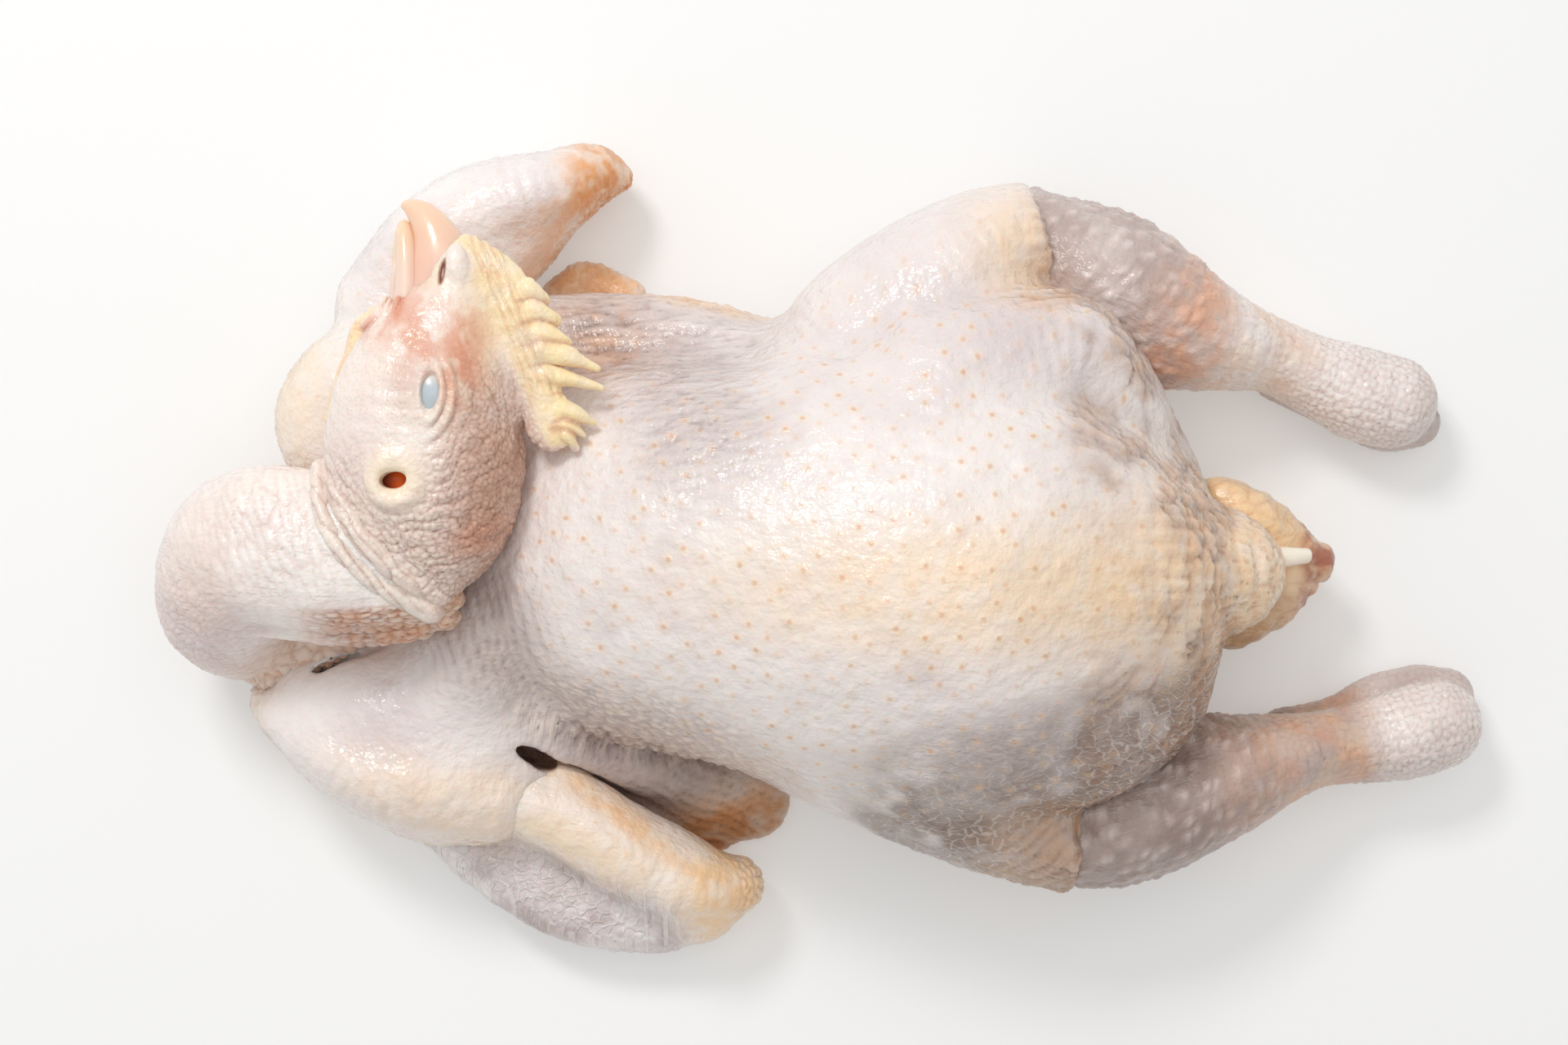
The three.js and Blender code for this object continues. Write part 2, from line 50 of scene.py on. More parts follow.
# Floor and light: a plain white sheet, one large soft light from the bird's left shoulder, a
# smaller one over its tail, and an even white surround that fills the shadows.
FLOOR_WHITE = (0.70, 0.70, 0.695)
FLOOR_GLOW = 0.24
BIRD_MIDDLE = Vector((0, 0, 0.04))


def laid(name, points, faces, material):
    """A mesh object at the origin from points in metres and faces of one size, shaded smooth."""
    mesh = bpy.data.meshes.new(name)
    faces = np.asarray(faces, np.int32)
    mesh.vertices.add(len(points))
    mesh.vertices.foreach_set("co", np.asarray(points, np.float32).ravel())
    mesh.loops.add(faces.size)
    mesh.loops.foreach_set("vertex_index", faces.ravel())
    mesh.polygons.add(len(faces))
    mesh.polygons.foreach_set("loop_start", np.arange(len(faces), dtype=np.int32) * faces.shape[1])
    mesh.polygons.foreach_set("use_smooth", np.ones(len(faces), bool))
    mesh.materials.append(material)
    mesh.update(calc_edges=True)
    mesh.validate()
    piece = bpy.data.objects.new(name, mesh)
    bpy.context.collection.objects.link(piece)
    return piece


def new_material(name):
    """An empty node material and a maker of its nodes: sockets are given by name, each a number,
    a colour, or another node's output."""
    material = bpy.data.materials.new(name)
    material.use_nodes = True
    tree = material.node_tree
    tree.nodes.clear()

    def node(kind, sockets=(), out=0, **settings):
        made = tree.nodes.new("ShaderNode" + kind)
        for key, value in settings.items():
            setattr(made, key, value)
        for key, value in dict(sockets).items():
            socket = made.inputs[key]
            if isinstance(value, bpy.types.NodeSocket):
                tree.links.new(value, socket)
            else:
                socket.default_value = value
        return made.outputs[out] if made.outputs else made

    return material, node


floor_material, node = new_material("floor_white")
node("OutputMaterial", {"Surface": node("BsdfPrincipled", {
    "Base Color": (*FLOOR_WHITE, 1), "Roughness": 0.55, "Specular IOR Level": 0.25,
    "Emission Color": (1, 1, 0.99, 1), "Emission Strength": FLOOR_GLOW})})
floor = laid("floor", [(-4, -4, -0.0006), (4, -4, -0.0006), (4, 4, -0.0006), (-4, 4, -0.0006)],
             [(0, 1, 2, 3)], floor_material)


def soft_light(name, place, power, width, height):
    """A rectangular area light, aimed at the middle of the bird."""
    light = bpy.data.lights.new(name, "AREA")
    light.shape = "RECTANGLE"
    light.size, light.size_y, light.energy = width, height, power
    lamp = bpy.data.objects.new(name, light)
    lamp.location = place
    lamp.rotation_euler = (BIRD_MIDDLE - Vector(place)).to_track_quat("-Z", "Y").to_euler()
    bpy.context.collection.objects.link(lamp)


soft_light("window", (-0.47, 0.80, 1.08), 7.5, 0.36, 0.3)
soft_light("overhead", (0.05, 0.25, 1.5), 4.2, 1.2, 1.2)
world = bpy.data.worlds.new("surround")
world.use_nodes = True
sky = world.node_tree.nodes["Background"].inputs
sky["Color"].default_value = (1.0, 0.995, 0.985, 1)
sky["Strength"].default_value = 0.55
bpy.context.scene.world = world
bpy.context.scene.view_settings.view_transform = "Standard"

# Trunk: breast, belly, back, thighs and the right shoulder with its upper arm, one skin. It is
# raw plucked skin over flesh and fat; the thighs end in cut-like flaps over the drumsticks.
# Stations along X: x, y of the middle, half width, z of the widest, z of the top, in millimetres.
TRUNK = [(-93, 4, 0, 34, 34), (-85, 4, 24, 34, 50), (-72, 3, 36, 36, 63), (-57, 1, 43, 38, 75),
         (-40, -1, 47, 40, 85), (-20, -3, 51, 41, 94), (2, -5, 57, 42, 101), (22, -6, 58, 43, 104),
         (42, -7, 57, 43, 103), (58, -8, 53, 42, 99), (74, -9, 44, 41, 90), (88, -9, 31, 40, 76),
         (97, -8, 20, 40, 64), (104, -7, 0, 40, 40)]
TRUNK_SHELL = ((4, -4, 40), (97, 68, 68))
# Rolls and limbs: x, y, z, half width, half height at each station.
LEFT_SIDE = [(-74, 50, 22, 14, 14), (-51, 51, 22, 14, 14), (-31, 50, 24, 13, 15),
             (-14, 45, 26, 12, 17)]
RIGHT_SIDE = [(-76, -34, 24, 12, 16), (-55, -33, 26, 14, 18), (-35, -36, 28, 14, 20),
              (-16, -37, 30, 13, 22)]
RIGHT_SKIRT = [(-84, -50, 2, 12, 7), (-66, -55, 1, 12, 7), (-50, -57, 1, 13, 8),
               (-34, -58, 3, 12, 10), (-19, -65, 2, 10.5, 8)]
RIGHT_WEB = [(-62, -60, 4, 7, 9), (-46, -68, 2, 8, 6), (-29, -72, 1, 7.5, 5)]
RIGHT_SLOPE = [(-70, -45, 27, 8, 9), (-60, -49, 23, 8, 8), (-47, -54, 15, 8, 7),
               (-36, -57, 10, 8, 6)]
LEFT_THIGH = [(-4, 42, 36, 14, 26), (14, 55, 36, 20.5, 28), (32, 67, 34, 20, 30),
              (45, 76, 30, 16, 27), (52, 78, 28, 15, 25)]
RIGHT_THIGH = [(-10, -38, 35, 17, 24), (10, -48, 36, 19, 28), (31, -59, 34, 18, 30),
               (47, -67, 30, 15.5, 28), (60, -71, 28, 14, 26)]
LEFT_HIP = [(28, 37, 50, 25, 34), (46, 44, 46, 21, 32), (59, 45, 42, 17.5, 30),
            (68, 35, 38, 16, 27), (78, 21, 32, 14, 22)]
RIGHT_HIP = [(28, -41, 48, 24, 36), (50, -43, 45, 20, 34), (65, -44, 42, 18, 31),
             (78, -36, 36, 16, 26), (85, -25, 30, 12, 18)]
# The flap that ends each thigh is cut square: a X + b Y = c on the left, X on the right.
LEFT_FLAP_CUT = (0.97, 0.24, 71.0)
RIGHT_FLAP_CUT = 62.5
LEFT_APRON = [(-72, 62, 6, 5, 6), (-62, 68.5, 5, 6, 4.5), (-50, 65.5, 4.5, 4.5, 4.5)]
RIGHT_ARM = [(-144, -37.5, 14, 4, 8), (-137, -42, 18, 6, 12), (-126, -50, 22, 8, 18),
             (-114, -56, 22, 11.5, 22), (-96, -59, 22, 15.5, 22.5), (-84, -62, 24, 12, 16)]
# Grooves: beside the right wing, and under the neck's lower edge.
ARMPIT_GROOVE = [(-76, -49.5, 34, 1.2, 4), (-70, -52.8, 30, 2.0, 7), (-62, -57, 25, 1.8, 7),
                 (-53, -63.5, 20, 1.6, 7)]
FLAP_GAP = [(-110, -24, 38, 0.5, 2.5), (-118, -26.5, 35, 0.9, 3.5), (-126, -30, 32, 1.2, 4),
            (-132, -33.5, 28, 0.8, 3)]
# Lobes: middle, half lengths, and the turn about the vertical in degrees.
BELLY_END = ((96.5, -5, 42), (16.5, 16, 15), -6)
NECK_ROOT = ((-86, -22, 28), (19, 24, 25), 0)
RIGHT_SHOULDER = ((-101, -43, 26), (38, 20, 18), -12)
ARMPIT = ((-73.2, -50.8, 32), (6.4, 2.4, 9.5), -30)


def cubic(at, rows, t):
    """The smooth cubic curve through every row at its place, read at the places t."""
    step = np.diff(at)
    slope = np.gradient(rows, at, axis=0) if len(at) > 2 else np.diff(rows, axis=0)[[0, 0]] / step
    i = np.clip(np.searchsorted(at, t, side="right") - 1, 0, len(at) - 2)
    reach = step[i][:, None]
    u = (t - at[i])[:, None] / reach
    return ((2 * u**3 - 3 * u**2 + 1) * rows[i] + (u**3 - 2 * u**2 + u) * reach * slope[i]
            + (3 * u**2 - 2 * u**3) * rows[i + 1] + (u**3 - u**2) * reach * slope[i + 1])


def smooth_path(stations, count):
    """Samples evenly along the cubic curve that passes through every station."""
    rows = np.asarray(stations, float)
    at = np.concatenate([[0], np.cumsum(np.linalg.norm(np.diff(rows[:, :3], axis=0), axis=1))])
    return cubic(at, rows, np.linspace(0, at[-1], count))


# A limb is worked out within this many millimetres of its path; beyond, its distance is FAR.
NEARBY = 25
FAR = 60


def limb(p, stations, count=22):
    """Distance from points to a chain of tapered round stretches: for each stretch, the distance
    to its axis with heights scaled to widths, less its half width there, over the slope."""
    samples = smooth_path(stations, count).astype(np.float32)
    reach = samples[:, 3:].max() + NEARBY
    near = np.all((p > samples[:, :3].min(0) - reach) & (p < samples[:, :3].max(0) + reach), axis=1)
    q = p[near]
    nearest = np.full(len(q), FAR, np.float32)
    for a, b in zip(samples[:-1], samples[1:]):
        squash = np.array([1, 1, (a[3] + b[3]) / (a[4] + b[4])], np.float32)
        axis = (b[:3] - a[:3]) * squash
        away = (q - a[:3]) * squash
        t = np.clip(away @ axis / (axis @ axis + 1e-6), 0, 1)
        away -= t[:, None] * axis
        length = np.sqrt((away * away).sum(1)) + 1e-6
        slope = np.sqrt(((away * squash) ** 2).sum(1)) / length + 0.01
        nearest = np.minimum(nearest, (length - a[3] - t * (b[3] - a[3])) / slope)
    distance = np.full(len(p), FAR, np.float32)
    distance[near] = nearest
    return distance


def lobe(p, centre, radii, turn=0):
    """Distance from points to an egg-shaped lobe, turned about the vertical: k0 (k0 - 1) / k1 with
    k0 the length in units of the radii and k1 the length of its slope."""
    c, s = math.cos(math.radians(turn)), math.sin(math.radians(turn))
    turned = np.array([[c, -s, 0], [s, c, 0], [0, 0, 1]], np.float32)
    q = (p - np.asarray(centre, np.float32)) @ turned
    radii = np.asarray(radii, np.float32)
    k0 = np.linalg.norm(q / radii, axis=1)
    return k0 * (k0 - 1) / (np.linalg.norm(q / radii**2, axis=1) + 1e-9)


def melt(a, b, width):
    """The nearer of two distances, with a rounded valley of about this width between them."""
    h = np.clip(0.5 + 0.5 * (b - a) / width, 0, 1)
    return b * (1 - h) + a * h - width * h * (1 - h)


def melt_limbs(d, p, *parts):
    """A distance melted in turn with limbs, each given with the width of its valley."""
    for stations, width in parts:
        d = melt(d, limb(p, stations), width)
    return d


def cut(a, b, width):
    """What is inside both distances, with a rounded edge."""
    return -melt(-a, -b, width)


# The trunk's measures as smooth curves along X. Its underside is 7 mm deeper than the level of its
# widest place, and no deeper than 1.26 times its half width.
STATION_X, MIDDLE, WIDTH, LEVEL, TOP = np.array(TRUNK, float).T
TABLE_X = np.linspace(STATION_X[0], STATION_X[-1], 400)
CURVES = dict(zip(("middle", "level", "wide", "rise", "half", "height"), cubic(STATION_X, np.stack(
    [MIDDLE, LEVEL, WIDTH**2, (TOP - LEVEL) ** 2, WIDTH, TOP - LEVEL], 1), TABLE_X).T))
CURVES["depth"] = np.minimum((CURVES["level"] + 7) ** 2, np.maximum(CURVES["wide"], 1) * 1.6)


def along_trunk(measure, x):
    """A measure of the trunk at x, and its slope."""
    curve = CURVES[measure]
    return np.interp(x, TABLE_X, curve), np.interp(x, TABLE_X, np.gradient(curve, TABLE_X))


def trunk(p):
    """Distance to the trunk: oval sections along X, whose half width squared and rise squared are
    smooth curves, with a flatter underside, inside one enclosing egg."""
    x = p[:, 0]
    (my, dmy), (mz, dmz), (wide, dwide), (rise, drise), (depth, ddepth) = (
        along_trunk(measure, x) for measure in ("middle", "level", "wide", "rise", "depth"))
    y, z = p[:, 1] - my, p[:, 2] - mz
    wide = np.maximum(wide, 1)
    high = np.maximum(np.where(z > 0, rise, depth), 1)
    dhigh = np.where(z > 0, drise, ddepth)
    root = np.sqrt(y * y / wide + z * z / high)
    endwise = (2 * y * dmy / wide + y * y * dwide / wide**2 + 2 * z * dmz / high
               + z * z * dhigh / high**2)
    sidewise = np.hypot(2 * y / wide, 2 * z / high)
    endwise = np.clip(endwise, -1.5 * sidewise, 1.5 * sidewise)
    slope = np.hypot(endwise, sidewise) / (2 * root + 1e-6)
    skin = (root - 1) / np.maximum(slope, 1 / FAR)
    ends = np.maximum(STATION_X[0] - x, x - STATION_X[-1])
    return np.maximum(np.maximum(skin, ends), lobe(p, *TRUNK_SHELL)).astype(np.float32)


def trunk_flesh(p):
    """Distance to the whole trunk piece."""
    a, b, c = LEFT_FLAP_CUT
    left = cut(limb(p, LEFT_THIGH), a * p[:, 0] + b * p[:, 1] - c, 2.5)
    right = cut(limb(p, RIGHT_THIGH), p[:, 0] - RIGHT_FLAP_CUT, 2.5)
    skirt = melt(limb(p, RIGHT_SKIRT), limb(p, RIGHT_WEB), 5)
    shoulder = melt(lobe(p, *RIGHT_SHOULDER), limb(p, RIGHT_ARM), 8)
    d = melt_limbs(trunk(p), p, (LEFT_SIDE, 14), (RIGHT_SIDE, 6))
    d = melt_limbs(melt(d, skirt, 6), p, (RIGHT_SLOPE, 5), (LEFT_HIP, 8), (RIGHT_HIP, 8))
    d = melt(melt(d, left, 6), right, 6)
    d = melt(d, lobe(p, *BELLY_END), 2.5 + 10 * np.exp(-(((p[:, 1] + 5) / 8) ** 2)))
    d = melt(melt(d, lobe(p, *NECK_ROOT), 8), shoulder, 10)
    d = cut(melt(d, limb(p, LEFT_APRON), 3), -limb(p, FLAP_GAP), 1.5)
    return cut(d, -melt(lobe(p, *ARMPIT), limb(p, ARMPIT_GROOVE), 1), 2)


def grown(distance, low, high, cell):
    """Points, quads and outward directions of the surface where a distance function is zero. The
    function is worked out on a coarse grid, then finely near the surface. Each fine cell that the
    surface crosses gets one point, the mean of its crossings, which slides onto the surface."""
    coarse = 4
    low = np.asarray(low, float)
    count = np.ceil((np.asarray(high) - low) / (cell * coarse)).astype(int)

    def on_floor(p):
        return cut(distance(p.astype(np.float32)), -p[:, 2].astype(np.float32), 3)

    axes = [low[a] + np.arange(count[a] + 1) * cell * coarse for a in range(3)]
    rough = on_floor(np.stack(np.meshgrid(*axes, indexing="ij"), -1).reshape(-1, 3))
    rough = rough.reshape(count + 1)
    fine = count * coarse + 1
    pick = [np.minimum((np.arange(fine[a]) + coarse // 2) // coarse, count[a]) for a in range(3)]
    value = rough[np.ix_(*pick)].astype(np.float32)
    band = np.nonzero(np.abs(value) < cell * coarse * 1.3)
    value[band] = on_floor(np.stack([low[a] + band[a] * cell for a in range(3)], 1))

    inside = value < 0
    corners = np.array([(i, j, k) for i in (0, 1) for j in (0, 1) for k in (0, 1)])
    held = sum(inside[i:fine[0] - 1 + i, j:fine[1] - 1 + j, k:fine[2] - 1 + k].astype(np.int8)
               for i, j, k in corners)
    crossed = (held > 0) & (held < 8)
    cells = np.stack(np.nonzero(crossed), 1)
    number = np.full(crossed.shape, -1, np.int64)
    number[crossed] = np.arange(len(cells))
    total, hits = np.zeros((len(cells), 3)), np.zeros(len(cells))
    quads = []
    for axis in range(3):
        step = np.eye(3, dtype=int)[axis]
        for corner in corners[corners[:, axis] == 0]:
            here, there = cells + corner, cells + corner + step
            a, b = value[tuple(here.T)], value[tuple(there.T)]
            hit = (a < 0) != (b < 0)
            t = np.where(hit, a / np.where(hit, a - b, 1), 0)
            total += (corner + t[:, None] * step) * hit[:, None]
            hits += hit
        u, v = np.eye(3, dtype=int)[(axis + 1) % 3], np.eye(3, dtype=int)[(axis + 2) % 3]
        first, second = [slice(None)] * 3, [slice(None)] * 3
        first[axis], second[axis] = slice(0, -1), slice(1, None)
        edge = np.stack(np.nonzero(inside[tuple(first)] != inside[tuple(second)]), 1)
        edge = edge[np.all((edge @ np.stack([u, v], 1) > 0), axis=1)]
        quad = np.stack([number[tuple((edge - s).T)] for s in (u + v, v, 0 * u, u)], 1)
        outward = ~inside[tuple(edge.T)]
        quad[outward] = quad[outward][:, ::-1]
        quads.append(quad)
    points = low + (cells + total / hits[:, None]) * cell

    def slope(at, d):
        h = 0.15 * cell
        return np.stack([on_floor(at + h * np.eye(3)[a]) - d for a in range(3)], 1) / h

    for _ in range(2):
        d = on_floor(points)
        g = slope(points, d)
        points = points - np.clip(d, -cell, cell)[:, None] * g / ((g**2).sum(1) + 1e-4)[:, None]
    g = slope(points, on_floor(points))
    return points, np.concatenate(quads), g / (np.linalg.norm(g, axis=1)[:, None] + 1e-9)


def hashed(cell, seed):
    """A number from 0 to 1 for each whole-numbered cell, always the same for the same seed."""
    mixed = np.zeros(len(cell), np.uint32) + np.uint32(seed * 2654435761 % 2**32)
    for axis, prime in zip(range(cell.shape[1]), (374761393, 668265263, 2147483629)):
        mixed ^= cell[:, axis].astype(np.uint32) * np.uint32(prime)
        mixed *= np.uint32(1274126177)
        mixed ^= mixed >> np.uint32(15)
    return (mixed & np.uint32(0xFFFFFF)) / float(0x1000000)


def ripple(p, size, seed=0):
    """Smooth noise from -1 to 1 whose lumps are about this size: random values on a lattice,
    blended along each axis."""
    q = p / size + 11.7 * seed
    base = np.floor(q).astype(np.int64)
    f = q - base
    f = f * f * f * (f * (f * 6 - 15) + 10)
    total = 0
    for corner in np.array([(i, j, k) for i in (0, 1) for j in (0, 1) for k in (0, 1)]):
        weight = np.prod(np.where(corner, f, 1 - f), axis=1)
        total = total + weight * hashed(base + corner, seed)
    return 2 * total - 1


def cells(u, v, seed, jitter=0.8):
    """Distances from points of a plane to the nearest and second nearest of a jittered lattice."""
    q = np.stack([u, v], 1)
    base = np.floor(q).astype(np.int64)
    first, second = np.full(len(q), 9.0), np.full(len(q), 9.0)
    for step in np.array([(i, j) for i in (-1, 0, 1) for j in (-1, 0, 1)]):
        cell = base + step
        drawn = np.stack([hashed(cell, seed), hashed(cell, seed + 1)], 1)
        gap = np.linalg.norm(q - (cell + 0.5 + jitter * (drawn - 0.5)), axis=1)
        second = np.minimum(second, np.maximum(first, gap))
        first = np.minimum(first, gap)
    return first, second


def pebbles(u, v, seed, jitter=0.8):
    """Rounded pebbles that fill the plane, parted by sharp valleys, from 0 to 1."""
    first, second = cells(u, v, seed, jitter)
    return np.sqrt(np.clip(1.5 * (second - first), 0, 1))


def folds(phase):
    """Rounded ridges with sharp valleys, one for each whole number of the phase, from 0 to 1."""
    return np.sqrt(np.abs(np.sin(np.pi * phase)))


def spot(p, centre, radii, turn=0):
    """A soft patch: 1 at the centre, falling to 0 a little past the radii."""
    c, s = math.cos(math.radians(turn)), math.sin(math.radians(turn))
    q = p - np.asarray(centre, float)
    q = np.stack([q[:, 0] * c + q[:, 1] * s, q[:, 1] * c - q[:, 0] * s, q[:, 2]], 1) / radii
    return np.exp(-((q**2).sum(1) ** 1.5))


def ramp(value, start, end):
    """0 before start, 1 after end, smooth between."""
    t = np.clip((value - start) / (end - start), 0, 1)
    return t * t * (3 - 2 * t)


def between(value, start, full, fading, end):
    """0 outside start and end, 1 from full to fading, smooth between."""
    return ramp(value, start, full) * (1 - ramp(value, fading, end))


def rgb(red, green, blue):
    """A colour from its 0 to 255 screen numbers."""
    c = np.array([red, green, blue]) / 255
    return (*np.where(c < 0.04045, c / 12.92, ((c + 0.055) / 1.055) ** 2.4), 1.0)


# Millimetres between one pore and the next.
PORE_PITCH = 5.66


def skin_material(name, plain, flesh, fat, flush, dusk_and_shade, painted_shade_colour, dot=rgb(226, 178, 136)):
    """Raw skin. Marks laid over the piece: fleshy, fatty, flushed, dotted, netted, creased, scaly
    and
    stippled, and two of painted shade: the dusky mark, darker flesh together with painted shade on
    sides turned from the lamps, and the mark that darkens creases, gaps, pits and hollows with
    painted shade. grain is its own length and girth in millimetres."""
    material, node = new_material(name)
    place = node("TexCoord", out=3)
    grain = node("Attribute", {}, 1, attribute_name="grain")

    def mark(key):
        return node("Attribute", {}, 2, attribute_name=key)

    def times(a, b):
        return node("Math", {0: a, 1: b}, operation="MULTIPLY")

    def mixed(amount, a, b):
        return node("Mix", {0: amount, 6: a, 7: b}, 2, data_type="RGBA")

    def stretch(value, low, high, to_low=0.0, to_high=1.0):
        return node("MapRange", {"Value": value, "From Min": low, "From Max": high,
                                 "To Min": to_low, "To Max": to_high},
                    interpolation_type="SMOOTHSTEP")

    def noise(size, detail=2.0, vector=place, warp=0.0):
        return node("TexNoise", {"Vector": vector, "Scale": 1 / size, "Detail": detail,
                                 "Distortion": warp})

    def scaled(vector, x, y, turn=0.0, z=1.0):
        return node("Mapping", {"Vector": vector, "Scale": (x, y, z),
                                "Rotation": (0, 0, math.radians(turn))})

    def voronoi(vector, randomness, out=0, **settings):
        return node("TexVoronoi", {"Vector": vector, "Scale": 1.0, "Randomness": randomness}, out,
                    **settings)

    # Colour: plain skin with clouds of flesh and white, then one layer for each mark.
    mottle = noise(0.016, 3.0)
    cloud = noise(0.006, 2.0)
    colour = mixed(stretch(noise(0.024, 3.0), 0.46, 0.72, 0.0, 0.4), plain, flesh)
    white = stretch(noise(0.010, 4.0, warp=0.8), 0.5, 0.75, 0.0, 0.5)
    colour = mixed(white, colour, rgb(254, 247, 244))
    # The dusky layer is darker flesh and also painted shade on sides turned from the lamps.
    for key, patches, low, high, least, layer in (
            ("fleshy", mottle, 0.25, 0.65, 0.55, flesh), ("dusky", mottle, 0.3, 0.6, 0.65, dusk_and_shade),
            ("fatty", cloud, 0.3, 0.6, 0.6, fat), ("flushed", cloud, 0.35, 0.6, 0.3, flush)):
        colour = mixed(times(mark(key), stretch(patches, low, high, least)), colour, layer)

    # Pores: dots on a jittered lattice, each in a soft yellow halo, some fainter than others.
    lattice = scaled(grain, 1 / PORE_PITCH, 1 / PORE_PITCH, 45)
    pores = voronoi(lattice, 0.55, voronoi_dimensions="2D")
    chance = node("SeparateColor", {"Color": voronoi(lattice, 0.55, 1, voronoi_dimensions="2D")})
    dotted = times(times(mark("dotted"), stretch(noise(0.012, 1.0), 0.3, 0.62, 0.3)),
                   stretch(chance, 0.05, 0.8, 0.4))
    colour = mixed(times(stretch(pores, 0.45, 0.1, 0.0, 0.35), dotted), colour, fat)
    colour = mixed(times(stretch(pores, 0.17, 0.04), dotted), colour, dot)
    # Painted shade: the creases, gaps, pits and hollows so marked are darkened towards a red-brown.
    colour = mixed(mark("deep"), colour, painted_shade_colour)

    # A net of pale lines whose cells are pushed about by noise, and the stippling of the face.
    push = node("TexNoise", {"Vector": grain, "Scale": 0.35, "Detail": 1.0}, 1)
    push = node("VectorMath", {0: push, 1: (0.5, 0.5, 0.5)}, operation="SUBTRACT")
    push = node("VectorMath", {0: push, "Scale": 3.0}, operation="SCALE")
    pushed = node("VectorMath", {0: grain, 1: push}, operation="ADD")
    net = voronoi(scaled(pushed, 0.27, 0.58), 1.0, feature="DISTANCE_TO_EDGE",
                  voronoi_dimensions="2D")
    netted = times(stretch(net, 0.16, 0.02), mark("netted"))
    colour = mixed(times(netted, 0.4), colour, plain)
    specks = voronoi(scaled(place, 900, 900, z=900), 0.6)
    stipple = times(stretch(specks, 0.42, 0.12), mark("stippled"))
    colour = mixed(times(stipple, 0.4), colour, flush)

    # Bump, in millimetres.
    scales = voronoi(scaled(grain, 0.36, 0.42), 0.45, feature="SMOOTH_F1", voronoi_dimensions="2D")
    creases = noise(1.0, 3.0, scaled(grain, 0.18, 0.75), 0.6)
    height = times(mark("dotted"), stretch(pores, 0.5, 0.0, 0.0, 0.22))
    for part, amount in (
            (netted, 0.22), (times(mark("creased"), creases), 1.1), (stipple, 0.07),
            (times(mark("scaly"), stretch(scales, 0.55, 0.1)), 0.5), (noise(0.0026, 2.0), 0.7),
            (noise(0.0009, 1.0), 0.12)):
        height = node("Math", {0: height, 1: times(part, amount)}, operation="ADD")
    bump = node("Bump", {"Height": height, "Distance": 0.001, "Strength": 1.0})
    node("OutputMaterial", {"Surface": node("BsdfPrincipled", {
        "Base Color": colour, "Roughness": stretch(noise(0.009, 2.0), 0.3, 0.7, 0.28, 0.46),
        "Normal": bump, "Subsurface Weight": 0.3, "Subsurface Radius": (1.0, 0.45, 0.3),
        "Subsurface Scale": 0.0035, "Coat Weight": 0.5, "Coat Roughness": 0.12, "Coat Normal": bump,
        "IOR": 1.42})})
    return material


MARKS = ("fleshy", "dusky", "fatty", "flushed", "deep", "dotted", "netted", "creased", "scaly",
         "stippled")


def on_bird(piece):
    """Ties a piece to the bird's one body, in place of its solid."""
    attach(piece, "root")
    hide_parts("carcass")


def skin_piece(name, distance, low, high, cell, measure, finish, material):
    """A closed piece of the bird: its surface, raised by its relief, with its grain and marks.
    measure gives the grain, and finish the relief in millimetres and the marks."""
    points, quads, out = grown(distance, low, high, cell)
    grain = measure(points)
    relief, marks = finish(points, out, grain)
    clear_of_floor = ramp(points[:, 2], 0.2, 3.0)
    points = points + out * (relief * clear_of_floor)[:, None]
    piece = laid(name, points * 0.001, quads, material)
    vector = piece.data.attributes.new("grain", "FLOAT_VECTOR", "POINT")
    vector.data.foreach_set("vector", grain.astype(np.float32).ravel())
    for key in MARKS:
        values = np.clip(np.broadcast_to(marks.get(key, 0.0), len(points)), 0, 1)
        layer = piece.data.attributes.new(key, "FLOAT", "POINT")
        layer.data.foreach_set("value", np.ascontiguousarray(values, np.float32))
    on_bird(piece)


def trunk_grain(p):
    """Length along the bird, and girth from the keel: the angle round the trunk's middle line
    times the mean of its half width and rise."""
    x = np.clip(p[:, 0], -80, 96)
    middle, level, half, height = (along_trunk(measure, x)[0]
                                   for measure in ("middle", "level", "half", "height"))
    angle = np.arctan2(p[:, 1] - middle, p[:, 2] - level)
    return np.stack([p[:, 0], angle * np.maximum((half + height) / 2, 12), 0 * x], 1)


def seam(a, b, width):
    """1 along the line where two distances are both zero, falling to 0 at about this width."""
    return np.exp(-(a**2 + b**2) / width**2)


